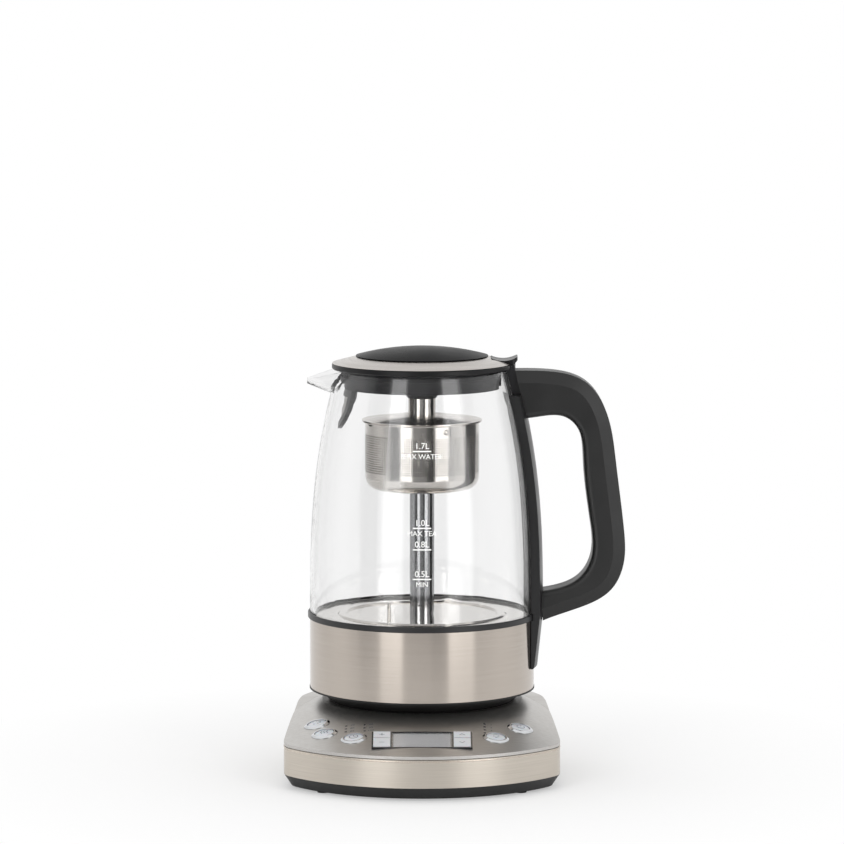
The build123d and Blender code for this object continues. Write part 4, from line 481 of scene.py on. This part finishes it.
def lettering(text, size):
    """Flat outlines of a line of text, centred, as points and faces in millimetres."""
    curve = bpy.data.curves.new("lettering", "FONT")
    curve.body, curve.size, curve.align_x, curve.resolution_u = text, size, "CENTER", 3
    thing = bpy.data.objects.new("lettering", curve)
    bpy.context.scene.collection.objects.link(thing)
    bpy.context.view_layer.update()
    shaped = thing.evaluated_get(bpy.context.evaluated_depsgraph_get())
    mesh = bpy.data.meshes.new_from_object(shaped)
    points = [(v.co.x, v.co.y) for v in mesh.vertices]
    faces = [tuple(p.vertices) for p in mesh.polygons]
    bpy.data.objects.remove(thing)
    bpy.data.curves.remove(curve)
    bpy.data.meshes.remove(mesh)
    return points, faces


def add_flat(points, faces, flat, x, y, place):
    """Adds flat print to a growing mesh, moved by x and y and then laid on a surface by place."""
    first = len(points)
    points += [place(x + u, y + v) for u, v in flat[0]]
    faces += [tuple(first + i for i in face) for face in flat[1]]


def on_panel(x, y):
    """The point of print on the top plate over a plan point."""
    return (x, y, top_z(x, y) + PRINT_LIFT)


LIGHT_PITCH, LABEL_GAP, LABEL_SIZE = 5.1, 4.2, 2.9
# Each column's rearmost light and the words beside its lights, from the rear
LIGHT_COLUMNS = [
    (-49.7, -76.5, ("70", "80", "85")),
    (-37.5, -78.7, ("90", "95", "100")),
    (41.0, -76.0, ("1", "2", "3", "4")),
]
label_points, label_faces = [], []
for light_x, rear_light_y, words in LIGHT_COLUMNS:
    for i, word in enumerate(words):
        x, y = light_x + LABEL_GAP, rear_light_y - LIGHT_PITCH * i - LABEL_SIZE / 3
        add_flat(label_points, label_faces, lettering(word, LABEL_SIZE), x, y, on_panel)
piece("light_labels", label_points, label_faces, pad_print, "base", "switch_black")


# ------------------------------------------------------------ power connector
# The jug turns on this: a shallow cone of black ABS in the seat, and on it a round connector
# moulded in a polished tool, with brass contacts in its windows.

# ABS from a sparked tool: matt, a little lighter than black in the light
dish_abs = grained(
    finish("dish_abs", "#242425", 0.52), grain_mm=0.4, depth_mm=0.03, uneven=0.05
)
# ABS from a polished tool: glossy black
connector_abs = grained(
    finish("connector_abs", "#121213", 0.2, Coat_Weight=0.2),
    grain_mm=1.5, depth_mm=0.005, uneven=0.04,
)
# Rolled brass strip: yellow, with short marks where the contacts rub
contact_brass = brushed(
    finish("contact_brass", "#B8924A", 0.3, 1.0),
    streak_mm=(3, 3, 0.3), shade="#A27E3C", uneven=0.05,
)
dress(dish_abs, "connector_dish")
dress(connector_abs, "connector_body")
dress(contact_brass, "connector_contacts")


# ------------------------------------------------------------ underside of the jug
# The socket that drops over the connector, with brass contacts in it, and the cover that
# carries it. Both are moulded in nylon filled with glass fibre, which takes the kettle's heat.

# Filled nylon: the fibres dull it a little more than the base's ABS
foot_nylon = grained(
    finish("foot_nylon", "#181818", 0.5, Specular_IOR_Level=0.35),
    grain_mm=0.7, depth_mm=0.03, uneven=0.06,
)
dress(foot_nylon, "kettle_socket", "jug_base_cover")
dress(contact_brass, "socket_contacts")


# ------------------------------------------------------------ steel band and handle collar
# The jug's lower part: a rolled and welded band of the same champagne steel, brushed round its
# axis more finely than the base's. Above it a moulded black collar grips the foot of the glass.

# Fine brushed steel: nearly a mirror across the band, drawn out up and down it. Its colour is set
# darker than the base strip's: a painted shade for the darker room it mirrors
band_steel = brushed(
    finish("band_steel", "#C2B9B0", 0.17, 1.0),
    streak_mm=(60, 60, 0.3), shade="#BBB2A9", uneven=0.01, stretch=0.85,
)
# Moulded ABS: black, with a broad soft highlight
collar_abs = grained(
    finish("collar_abs", "#1C1C1D", 0.38), grain_mm=0.6, depth_mm=0.02, uneven=0.05
)
dress(band_steel, "steel_band")
dress(collar_abs, "jug_collar")


# ------------------------------------------------------------ heating plate
# A polished stainless floor with the heating element cast in aluminium under it, a stainless
# probe through it, and a ring of grey silicone that seals it to the glass.

# Buffed steel: a mirror with a little haze
buffed_steel = grained(
    finish("buffed_steel", "#CCC8C3", 0.11, 1.0), grain_mm=3.0, depth_mm=0.004, uneven=0.03
)
# Die cast aluminium: pale and dull, with the mould's skin
cast_aluminium = grained(
    finish("cast_aluminium", "#A9A9A7", 0.45, 1.0), grain_mm=0.9, depth_mm=0.08, uneven=0.08
)
# Moulded silicone: a flat grey
seal_silicone = grained(
    finish("seal_silicone", "#8E8E8C", 0.6), grain_mm=1.0, depth_mm=0.02, uneven=0.05
)
dress(buffed_steel, "heating_plate", "temperature_probe")
dress(cast_aluminium, "heating_element")
dress(seal_silicone, "jug_seal")


# ------------------------------------------------------------ glass jug and volume marks
# The jug is blown in borosilicate glass. White enamel marks are fired onto the front of the
# wall, printed flat and then bent round it.

# Blown borosilicate: clear, with a faint waviness left by the blowing
WAVES_MM, WAVES_DEEP_MM = 35.7, 0.6
clear_glass = finish("clear_glass", "#FAFAFA", 0.0, Transmission_Weight=1.0, IOR=1.47)
blown = clear_glass.node_tree
waves = add(blown, "ShaderNodeTexNoise", {
    "Vector": add(blown, "ShaderNodeTexCoord").outputs["Object"],
    "Scale": 1 / (WAVES_MM * MM), "Detail": 1.0,
})
wavy = add(blown, "ShaderNodeBump", {
    "Height": waves.outputs["Fac"], "Strength": 0.1, "Distance": WAVES_DEEP_MM * MM,
})
blown.links.new(wavy.outputs["Normal"], blown.nodes["Principled BSDF"].inputs["Normal"])
dress(clear_glass, "glass_jug")

# Fired enamel: opaque white, with a painted glow, a weak emission that stands for the light
# reaching it through the glass from behind
glowing_enamel = grained(
    finish("glowing_enamel", "#F4F4F2", 0.45, Emission_Color=linear("#FFFFFF"), Emission_Strength=0.15),
    grain_mm=0.4, depth_mm=0.006, uneven=0.05,
)
FOOT_UP = 45.0  # the jug's foot above the table
# The wall: its foot above the jug's foot, its height, its radius below and above, and its curve
GLASS_FOOT, GLASS_TALL, GLASS_R, MOUTH_R, GLASS_CURVE = 58.4, 163.3, 75.0, 56.3, 2.7


def glass_r(z):
    """The glass wall's radius at a height above the jug's foot."""
    share = min(max((z - GLASS_FOOT) / GLASS_TALL, 0.0), 1.0)
    return GLASS_R - (GLASS_R - MOUTH_R) * share**GLASS_CURVE


def on_glass(u, z):
    """The point of print u along the wall from the middle of the front, z above the jug's foot."""
    radius = glass_r(z) + PRINT_LIFT
    return (radius * math.sin(u / radius), -radius * math.cos(u / radius), FOOT_UP + z)


# Each mark's text, height above the jug's foot, and words under it
LITRES = [
    ("1.7L", 174.0, "MAX WATER"), ("1.0L", 124.2, "MAX TEA"), ("0.8L", 110.2, None),
    ("0.5L", 90.8, "MIN"),
]
DASH, DASH_THICK, DASH_STEPS = 12.0, 0.8, 8
LITRE_SIZE, LITRE_UP, WORD_SIZE, WORD_DOWN = 5.6, 1.6, 4.6, 5.0
dash_line = [(-DASH / 2 + DASH / DASH_STEPS * i, 0) for i in range(DASH_STEPS + 1)]
mark_points, mark_faces = [], []
for litres, mark_z, word in LITRES:
    prints = [
        (strokes([dash_line], DASH_THICK), mark_z),
        (lettering(litres, LITRE_SIZE), mark_z + LITRE_UP),
    ]
    if word:
        prints.append((lettering(word, WORD_SIZE), mark_z - WORD_DOWN))
    for flat, z in prints:
        add_flat(mark_points, mark_faces, flat, 0, z, on_glass)
piece("volume_marks", mark_points, mark_faces, glowing_enamel, "jug", "silicone")


# ------------------------------------------------------------ lift column
# A stainless tube stands on the heating plate with a steel bush pressed into its top. The lift
# rod slides in it, with a nylon nut at its foot on the lead screw, which a motor in a cast
# housing turns.

# Steel drawn and polished along its length: a grey mirror parted into upright lines. Its colour is
# set darker than the other steel's: a painted shade for the darker room it mirrors in the glass
column_steel = brushed(
    finish("column_steel", "#ABABAC", 0.12, 1.0),
    streak_mm=(0.5, 0.5, 40), shade="#9FA0A2", uneven=0.02,
)
dress(column_steel, "column_tube", "column_bush", "lift_rod")
dress(foot_nylon, "lift_nut")
dress(zinc_plate, "lead_screw")
dress(cast_aluminium, "lift_motor")


# ------------------------------------------------------------ tea basket
# A cup deep drawn from thin stainless sheet and buffed, its side punched with rows of fine
# holes, its flange cut by three notches for the cover's bumps. The middle sleeve is a separate
# tube welded into its floor.

# The cup, its heights above the jug's foot
BASKET_R, BASKET_SHEET, BASKET_RIM, BASKET_FOOT = 38.0, 0.5, 187.0, 141.3
FOOT_BEND, BEND_STEPS, FLOOR_HOLE_R = 9.0, 8, 9.4
FLANGE_R, FLANGE_SHEET, FLANGE_ROUND = 39.5, 0.8, 0.2
# The punched band, one hole for each column and row
COLUMNS, HOLE_ROWS, HOLE_PITCH, HOLE_R = 156, 17, 1.5, 0.52
BAND_TOP = BASKET_RIM - 8.0
# The notches: their foot, reach and width, and bearings from the front towards the handle
NOTCH_FOOT, NOTCH_R, NOTCH_COLUMNS = BAND_TOP + 0.8, 38.7, 4
NOTCH_BEARINGS = (25.0, 145.0, 265.0)


def wall_levels():
    """Heights of the cup's upright wall: a plain foot, the punched band, the notch's foot and
    the flange."""
    band = [BAND_TOP - HOLE_PITCH * (HOLE_ROWS - row) for row in range(HOLE_ROWS + 1)]
    return [BASKET_FOOT + FOOT_BEND] + band + [NOTCH_FOOT, BASKET_RIM - FLANGE_SHEET]


def cup_profile():
    """The cup's closed section as (radius, height), with the rows where its upright wall starts
    outside and inside."""
    bend_r, bend_z = BASKET_R - FOOT_BEND, BASKET_FOOT + FOOT_BEND
    turns = [math.radians(-90 + 90 * step / BEND_STEPS) for step in range(BEND_STEPS)]
    outside = [(FLOOR_HOLE_R, BASKET_FOOT)]
    outside += [
        (bend_r + FOOT_BEND * math.cos(t), bend_z + FOOT_BEND * math.sin(t)) for t in turns
    ]
    outer_wall = len(outside)
    outside += [(BASKET_R, z) for z in wall_levels()]
    under = BASKET_RIM - FLANGE_SHEET
    rim = [(NOTCH_R, under), (FLANGE_R - FLANGE_ROUND, under)]
    rim += [(FLANGE_R, BASKET_RIM - FLANGE_SHEET / 2)]
    rim += [(FLANGE_R - FLANGE_ROUND, BASKET_RIM), (NOTCH_R, BASKET_RIM)]
    inner_bend = FOOT_BEND - BASKET_SHEET
    inner_levels = wall_levels()
    inner_levels[-1] = BASKET_RIM
    inside = [(BASKET_R - BASKET_SHEET, z) for z in reversed(inner_levels)]
    inside += [
        (bend_r + inner_bend * math.cos(t), bend_z + inner_bend * math.sin(t))
        for t in reversed(turns)
    ]
    inside += [(FLOOR_HOLE_R, BASKET_FOOT + BASKET_SHEET)]
    return outside + rim + inside, outer_wall, len(outside) + len(rim)


def around(radius, column, z):
    """A point of the cup at a radius, a share of the columns round it and a height."""
    turn = math.tau * column / COLUMNS
    return (radius * math.cos(turn), radius * math.sin(turn), FOOT_UP + z)


def notch_columns():
    """The columns that the notches take."""
    spread = range(-NOTCH_COLUMNS // 2, NOTCH_COLUMNS // 2)
    middles = [round((bearing - 90) / 360 * COLUMNS) for bearing in NOTCH_BEARINGS]
    return {(middle + step) % COLUMNS for middle in middles for step in spread}


def punched_band(points, faces, at, outer_foot, inner_foot):
    """Adds the band's cells: each is a square with an eight-sided hole through both faces of
    the sheet."""
    eighths = [math.radians(22.5 + 45 * step) for step in range(8)]
    sheet_faces = ((BASKET_R, outer_foot, 1), (BASKET_R - BASKET_SHEET, inner_foot, -1))
    for column in range(COLUMNS):
        for row in range(HOLE_ROWS):
            middle_z = BAND_TOP - HOLE_PITCH * (HOLE_ROWS - row - 0.5)
            rings = []
            for radius, foot, step_up in sheet_faces:
                first = len(points)
                for turn in eighths:
                    offset = HOLE_R * math.cos(turn) / radius * COLUMNS / math.tau
                    z = middle_z + HOLE_R * math.sin(turn)
                    points.append(around(radius, column + 0.5 + offset, z))
                ring = [first + step for step in range(8)]
                rings.append(ring)
                low = foot + row * step_up
                high = low + step_up
                corners = [
                    at(column + 1, high), at(column, high), at(column, low), at(column + 1, low),
                ]
                for side in range(4):
                    corner, following = corners[side], corners[(side + 1) % 4]
                    here = 2 * side
                    faces.append((corner, ring[here + 1], ring[here]))
                    faces.append((corner, following, ring[(here + 2) % 8], ring[here + 1]))
            outer, inner = rings
            for step in range(8):
                after = (step + 1) % 8
                faces.append((outer[step], outer[after], inner[after], inner[step]))


def punched_cup():
    """Points and faces of the cup: its section turned round the axis, but for the punched band
    and the notches, whose own faces are added."""
    profile, outer_wall, inner_wall = cup_profile()
    size, levels = len(profile), len(wall_levels())
    points = [around(r, column, z) for column in range(COLUMNS) for r, z in profile]
    faces = []
    notched = notch_columns()

    def at(column, row):
        """Which point of the cup stands at a column and a row of its section."""
        return (column % COLUMNS) * size + row % size

    punched = {outer_wall + 1 + row for row in range(HOLE_ROWS)}
    punched |= {inner_wall + levels - 3 - row for row in range(HOLE_ROWS)}
    outer_foot, outer_top = outer_wall + levels - 2, outer_wall + levels - 1
    inner_foot, inner_top = inner_wall + 1, inner_wall
    open_rows = {outer_foot, outer_top, inner_wall - 1, inner_top}
    for a in range(COLUMNS):
        for row in range(size):
            if row not in punched and not (a in notched and row in open_rows):
                faces.append((at(a, row), at(a + 1, row), at(a + 1, row + 1), at(a, row + 1)))
    for a in sorted(notched):
        b = a + 1
        # The notch's foot, its back and, where it ends, its side
        outer_low, inner_low = at(a, outer_foot), at(a, inner_foot)
        faces.append((outer_low, at(b, outer_foot), at(b, inner_foot), inner_low))
        faces.append((
            at(a, outer_top + 1), at(b, outer_top + 1), at(b, inner_top - 1), at(a, inner_top - 1),
        ))
        for end, beside in ((a, a - 1), (b, b)):
            if beside % COLUMNS not in notched:
                outer, inner = at(end, outer_top), at(end, inner_top)
                faces.append((at(end, outer_foot), outer, inner, at(end, inner_foot)))
                faces.append((outer, at(end, outer_top + 1), at(end, inner_top - 1), inner))
    punched_band(points, faces, at, outer_wall + 1, inner_wall + levels - 2)
    return points, faces


cup = piece(
    "tea_basket_cup", *punched_cup(), buffed_steel, "basket", "polished_steel", smooth=True
)
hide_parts("tea_basket")
turned_out = bmesh.new()
turned_out.from_mesh(cup.data)
bmesh.ops.recalc_face_normals(turned_out, faces=turned_out.faces)
turned_out.to_mesh(cup.data)
turned_out.free()
cup.data.set_sharp_from_angle(angle=math.radians(35))
dress(buffed_steel, "basket_sleeve")


# ------------------------------------------------------------ basket cover, neck and knob
# The cover is pressed from thin stainless and only satin buffed. A buffed tube neck, with a
# nylon stop in its foot, carries a moulded knob, by which a person lifts the infuser out.

# Satin buffed steel: softer reflections than the cup's
cover_steel = grained(
    finish("cover_steel", "#CBC5BF", 0.2, 1.0), grain_mm=2.5, depth_mm=0.008, uneven=0.05
)
# ABS with a coarse grain: a dry black that a wet hand can grip
knob_abs = grained(
    finish("knob_abs", "#1A1A1B", 0.5), grain_mm=0.7, depth_mm=0.06, uneven=0.06
)
dress(cover_steel, "infuser_cover")
dress(buffed_steel, "infuser_neck")
dress(foot_nylon, "neck_stop")
dress(knob_abs, "infuser_knob")


# ------------------------------------------------------------ lid
# A moulded black rim with a thumb tab, a spun steel ring on it and a dome that covers the
# screws. Under it hangs the plug, of recycled polypropylene, with a soft gasket round it and a
# gauze filter in a frame that reaches down into the spout.

# Moulded ABS: a deep black with a thin highlight along its edges
rim_abs = grained(
    finish("rim_abs", "#171718", 0.34, Specular_IOR_Level=0.25),
    grain_mm=0.6, depth_mm=0.015, uneven=0.05,
)
# Spun steel: satin, with marks round it and highlights drawn out across them
ring_steel = brushed(
    finish("ring_steel", "#C4BFBA", 0.3, 1.0),
    streak_mm=(40, 40, 0.5), shade="#B9B4AF", uneven=0.04, stretch=0.4,
)
# ABS from a polished tool: the deepest black of all
dome_abs = grained(
    finish("dome_abs", "#0A0A0B", 0.3, Specular_IOR_Level=0.02),
    grain_mm=6.0, depth_mm=0.004, uneven=0.03,
)
# Silicone: soft black, nearly flat
gasket_silicone = grained(
    finish("gasket_silicone", "#131216", 0.5, Specular_IOR_Level=0.3),
    grain_mm=1.0, depth_mm=0.01, uneven=0.05,
)
# ABS from a polished tool: black with a narrow gloss along the tongue
filter_frame_abs = grained(
    finish("filter_frame_abs", "#111112", 0.3, Specular_IOR_Level=0.25),
    grain_mm=1.0, depth_mm=0.01, uneven=0.05,
)
dress(rim_abs, "lid_rim")
dress(ring_steel, "lid_steel_ring")
dress(dome_abs, "lid_dome")
dress(zinc_plate, "lid_screws")
dress(gasket_silicone, "lid_gasket")
dress(filter_frame_abs, "spout_filter_frame")

# Recycled polypropylene: coarse black with pale flecks of other plastic
FLECK_MM, PLUG_BLACK, FLECK_GREY = 1.11, "#151418", "#38383E"
plug_plastic = grained(
    finish("plug_plastic", PLUG_BLACK, 0.5, Specular_IOR_Level=0.2),
    grain_mm=0.9, depth_mm=0.12, uneven=0.12,
)
flecked = plug_plastic.node_tree
flecks = add(flecked, "ShaderNodeTexNoise", {
    "Vector": add(flecked, "ShaderNodeTexCoord").outputs["Object"],
    "Scale": 1 / (FLECK_MM * MM), "Detail": 2.0,
})
fleck_share = add(flecked, "ShaderNodeMapRange", {
    "Value": flecks.outputs["Fac"], "From Min": 0.6, "From Max": 0.72,
})
fleck_tone = add(flecked, "ShaderNodeMix", {
    0: fleck_share.outputs["Result"], 6: linear(PLUG_BLACK), 7: linear(FLECK_GREY),
}, data_type="RGBA")
plug_shader = flecked.nodes["Principled BSDF"]
flecked.links.new(fleck_tone.outputs[2], plug_shader.inputs["Base Color"])
dress(plug_plastic, "lid_plug")

# Woven wire: pale wires over openings painted dark, a painted shade for the shadow seen through
# them. Its wires lie 0.75 mm apart, a few times coarser than real gauze, so that the weave shows.
WEAVE_MM, WIRE_MM, WIRE_GREY, PAINTED_OPENING_SHADE = 0.75, 0.1, "#BDB9B4", "#1E1D1D"
wire_gauze = finish("wire_gauze", WIRE_GREY, 0.3, 1.0)
weave = wire_gauze.node_tree
weave_place = add(weave, "ShaderNodeTexCoord").outputs["Object"]
weave_axes = add(weave, "ShaderNodeSeparateXYZ", {0: weave_place}).outputs
wires = []
for axis in ("Y", "Z"):
    turns = add(weave, "ShaderNodeMath", {
        0: weave_axes[axis], 1: math.tau / (WEAVE_MM * MM),
    }, operation="MULTIPLY")
    wires.append(add(weave, "ShaderNodeMath", {0: turns.outputs[0]}, operation="SINE").outputs[0])
woven = add(weave, "ShaderNodeMath", {0: wires[0], 1: wires[1]}, operation="MAXIMUM").outputs[0]
wire_share = add(weave, "ShaderNodeMapRange", {"Value": woven, "From Min": 0.1, "From Max": 0.5})
# The openings take the painted shade's dark grey, and the wires their own grey
wire_tone = add(weave, "ShaderNodeMix", {
    0: wire_share.outputs["Result"], 6: linear(PAINTED_OPENING_SHADE), 7: linear(WIRE_GREY),
}, data_type="RGBA")
wire_rise = add(weave, "ShaderNodeBump", {
    "Height": woven, "Strength": 0.5, "Distance": WIRE_MM * MM,
})
gauze_shader = weave.nodes["Principled BSDF"]
weave.links.new(wire_tone.outputs[2], gauze_shader.inputs["Base Color"])
weave.links.new(wire_rise.outputs["Normal"], gauze_shader.inputs["Normal"])
dress(wire_gauze, "spout_filter_mesh")


# ------------------------------------------------------------ handle
# Moulded black polypropylene: a strap that follows the glass, a grip screwed to it, and a clip
# that hooks over the glass rim.

# Polypropylene from a spark eroded tool: it shades softly from light to dark
grip_plastic = grained(
    finish("grip_plastic", "#191919", 0.42), grain_mm=0.5, depth_mm=0.03, uneven=0.05
)
# The same from smoother tools: a clearer highlight on the strap, and clearest on the clip
strap_plastic = grained(
    finish("strap_plastic", "#1A1A1B", 0.33), grain_mm=0.8, depth_mm=0.015, uneven=0.05
)
clip_plastic = grained(
    finish("clip_plastic", "#232325", 0.26), grain_mm=1.0, depth_mm=0.01, uneven=0.05
)
dress(grip_plastic, "handle_shell")
dress(strap_plastic, "handle_strap")
dress(clip_plastic, "handle_clip")
dress(zinc_plate, "handle_screws")


# ------------------------------------------------------------ studio
# A white paper sweep, a broad soft box overhead and a narrower one at each side. Polished parts
# also mirror the room: grey walls, the bright faces of the boxes and black flags between them.

# Uncoated paper: plain white, with fibres that only just show
FIBRE_MM, FIBRE_RISE_MM = 1.43, 0.1
# In metres: the shadow fades out between these distances from the middle of the base, and the
# sheet is small enough that upright steel mirrors the walls instead
SHADOW_NEAR, SHADOW_FAR, FLOOR_HALF = 0.1, 0.34, 0.75
WHITE_IN_SHADOW, WHITE_IN_MIRROR = 0.35, 0.3  # how much of plain white shows there

paper = finish("paper", "#F6F6F6", 0.9)
fibres = paper.node_tree
fibre_place = add(fibres, "ShaderNodeTexCoord").outputs["Object"]
fibre_noise = add(fibres, "ShaderNodeTexNoise", {
    "Vector": fibre_place, "Scale": 1 / (FIBRE_MM * MM), "Detail": 2.0,
})
fibre_rise = add(fibres, "ShaderNodeBump", {
    "Height": fibre_noise.outputs["Fac"], "Strength": 0.1, "Distance": FIBRE_RISE_MM * MM,
})
paper_shader = fibres.nodes["Principled BSDF"]
fibres.links.new(fibre_rise.outputs["Normal"], paper_shader.inputs["Normal"])


def seen_straight(tree):
    """A share that is one for a ray from the eye that has met nothing but clear glass on its
    way, and what else is known of the ray."""
    rays = add(tree, "ShaderNodeLightPath").outputs
    unmirrored = add(tree, "ShaderNodeMath", {
        0: rays["Glossy Depth"], 1: 0.5,
    }, operation="LESS_THAN").outputs[0]
    through = add(tree, "ShaderNodeMath", {
        0: rays["Is Transmission Ray"], 1: unmirrored,
    }, operation="MULTIPLY").outputs[0]
    straight = add(tree, "ShaderNodeMath", {
        0: rays["Is Camera Ray"], 1: through,
    }, operation="MAXIMUM").outputs[0]
    return straight, rays


# The paper is plain white to the eye, less so near the object, where its shadow falls
straight, rays = seen_straight(fibres)
mirrored = add(fibres, "ShaderNodeMath", {
    0: rays["Is Glossy Ray"], 1: WHITE_IN_MIRROR,
}, operation="MULTIPLY").outputs[0]
to_eye = add(fibres, "ShaderNodeMath", {0: straight, 1: mirrored}, operation="MAXIMUM").outputs[0]
away = add(fibres, "ShaderNodeVectorMath", {0: fibre_place}, operation="LENGTH").outputs["Value"]
clear = add(fibres, "ShaderNodeMapRange", {
    "Value": away, "From Min": SHADOW_NEAR, "From Max": SHADOW_FAR,
    "To Min": WHITE_IN_SHADOW, "To Max": 1.0,
})
bare = add(fibres, "ShaderNodeMath", {
    0: to_eye, 1: clear.outputs["Result"],
}, operation="MULTIPLY").outputs[0]
white_paper = add(fibres, "ShaderNodeEmission", {"Color": linear("#FFFFFF")})
paper_seen = add(fibres, "ShaderNodeMixShader", {
    0: bare, 1: paper_shader.outputs["BSDF"], 2: white_paper.outputs["Emission"],
})
fibres.links.new(paper_seen.outputs["Shader"], fibres.nodes["Material Output"].inputs["Surface"])

floor = bpy.data.objects.new("floor", bpy.data.meshes.new("floor"))
floor_corners = [(-1, -1), (1, -1), (1, 1), (-1, 1)]
floor.data.from_pydata(
    [(x * FLOOR_HALF, y * FLOOR_HALF, 0) for x, y in floor_corners], [], [(0, 1, 2, 3)]
)
floor.data.materials.append(paper)
bpy.context.scene.collection.objects.link(floor)

# Brightness once round the room, as shares of a turn: 0 and 1 behind the camera, 0.25 left, 0.5
# behind the object and 0.75 right
ROOM = [
    (0.0, 0.33), (0.035, 0.37), (0.05, 0.45), (0.06, 2.4), (0.114, 2.4), (0.126, 0.3),
    (0.136, 0.07), (0.176, 0.07), (0.192, 0.5), (0.24, 0.95), (0.275, 0.95), (0.33, 0.7),
    (0.4, 0.8), (0.44, 1.0), (0.56, 1.0), (0.6, 0.8), (0.67, 0.7), (0.72, 0.95), (0.76, 0.95),
    (0.8, 0.75), (0.842, 0.55), (0.856, 2.4), (0.92, 2.4), (0.93, 0.3), (0.94, 0.07),
    (0.965, 0.07), (0.98, 0.28), (1.0, 0.33),
]
# The brightest face in it, what lights plain surfaces, and the box overhead, which takes over
# from the walls between these rises of a ray
BRIGHTEST, PLAIN, OVERHEAD = 2.4, 0.7, 0.95
WALLS_END, OVERHEAD_STARTS = 0.25, 0.8


def grey(level):
    """A brightness as a colour, as a share of the brightest."""
    return (level / BRIGHTEST,) * 3 + (1,)


world = bpy.data.worlds.new("studio")
bpy.context.scene.world = world
world.use_nodes = True
studio = world.node_tree
toward = add(studio, "ShaderNodeTexCoord").outputs["Generated"]
axes = add(studio, "ShaderNodeSeparateXYZ", {0: toward}).outputs
bearing = add(studio, "ShaderNodeMath", {0: axes["X"], 1: axes["Y"]}, operation="ARCTAN2")
round_room = add(studio, "ShaderNodeMapRange", {
    "Value": bearing.outputs[0], "From Min": -math.pi, "From Max": math.pi,
})
walls = add(studio, "ShaderNodeValToRGB", {0: round_room.outputs["Result"]})
walls.color_ramp.elements[0].position, walls.color_ramp.elements[1].position = 0.0, 1.0
for share, _ in ROOM[1:-1]:
    walls.color_ramp.elements.new(share)
for element, (_, level) in zip(walls.color_ramp.elements, ROOM):
    element.color = grey(level)
upward = add(studio, "ShaderNodeMapRange", {
    "Value": axes["Z"], "From Min": WALLS_END, "From Max": OVERHEAD_STARTS,
})
room = add(studio, "ShaderNodeMix", {
    0: upward.outputs["Result"], 6: walls.outputs["Color"], 7: grey(OVERHEAD),
}, data_type="RGBA").outputs[2]
# A ray from a mirroring surface sees the room, also where it then leaves through glass. The eye
# sees white, and all that is left is lit plainly.
straight, rays = seen_straight(studio)
after_mirror = add(studio, "ShaderNodeMath", {
    0: rays["Glossy Depth"], 1: 0.5,
}, operation="GREATER_THAN").outputs[0]
leaves_glass = add(studio, "ShaderNodeMath", {
    0: rays["Is Transmission Ray"], 1: after_mirror,
}, operation="MULTIPLY").outputs[0]
in_mirror = add(studio, "ShaderNodeMath", {
    0: rays["Is Glossy Ray"], 1: leaves_glass,
}, operation="MAXIMUM").outputs[0]
lit = add(studio, "ShaderNodeMix", {
    0: in_mirror, 6: grey(PLAIN), 7: room,
}, data_type="RGBA").outputs[2]
shown = add(studio, "ShaderNodeMix", {
    0: straight, 6: lit, 7: grey(1),
}, data_type="RGBA").outputs[2]
studio.links.new(shown, studio.nodes["Background"].inputs["Color"])
studio.nodes["Background"].inputs["Strength"].default_value = BRIGHTEST

OBJECT_MIDDLE = Vector((0, 0, 0.15))


def soft_box(name, place, width, height, power):
    """A large area light pointed at the middle of the object, in metres and watts."""
    light = bpy.data.lights.new(name, "AREA")
    light.shape, light.size, light.size_y, light.energy = "RECTANGLE", width, height, power
    thing = bpy.data.objects.new(name, light)
    thing.location = place
    thing.rotation_euler = (OBJECT_MIDDLE - Vector(place)).to_track_quat("-Z", "Y").to_euler()
    thing.visible_glossy = False  # metal and glass mirror the room's own bright faces instead
    bpy.context.scene.collection.objects.link(thing)


soft_box("overhead_box", (0.0, 0.5, 1.8), 1.6, 1.4, 8)
soft_box("left_box", (-1.0, -1.62, 0.75), 0.62, 1.4, 8)
soft_box("right_box", (1.22, -1.46, 0.75), 0.66, 1.4, 8)

# The camera, in metres, with its sensor and lens in millimetres
AIM, DISTANCE, RISE = Vector((0, 0, 0.231)), 3.0, math.radians(6.2)
SENSOR_W, LENS = 36, 192
camera = bpy.data.objects.new("camera", bpy.data.cameras.new("camera"))
camera.data.sensor_width, camera.data.lens = SENSOR_W, LENS
camera.location = AIM + DISTANCE * Vector((0, -math.cos(RISE), math.sin(RISE)))
camera.rotation_euler = (AIM - camera.location).to_track_quat("-Z", "Y").to_euler()
bpy.context.scene.collection.objects.link(camera)
bpy.context.scene.camera = camera
bpy.context.scene.view_settings.view_transform = "Standard"
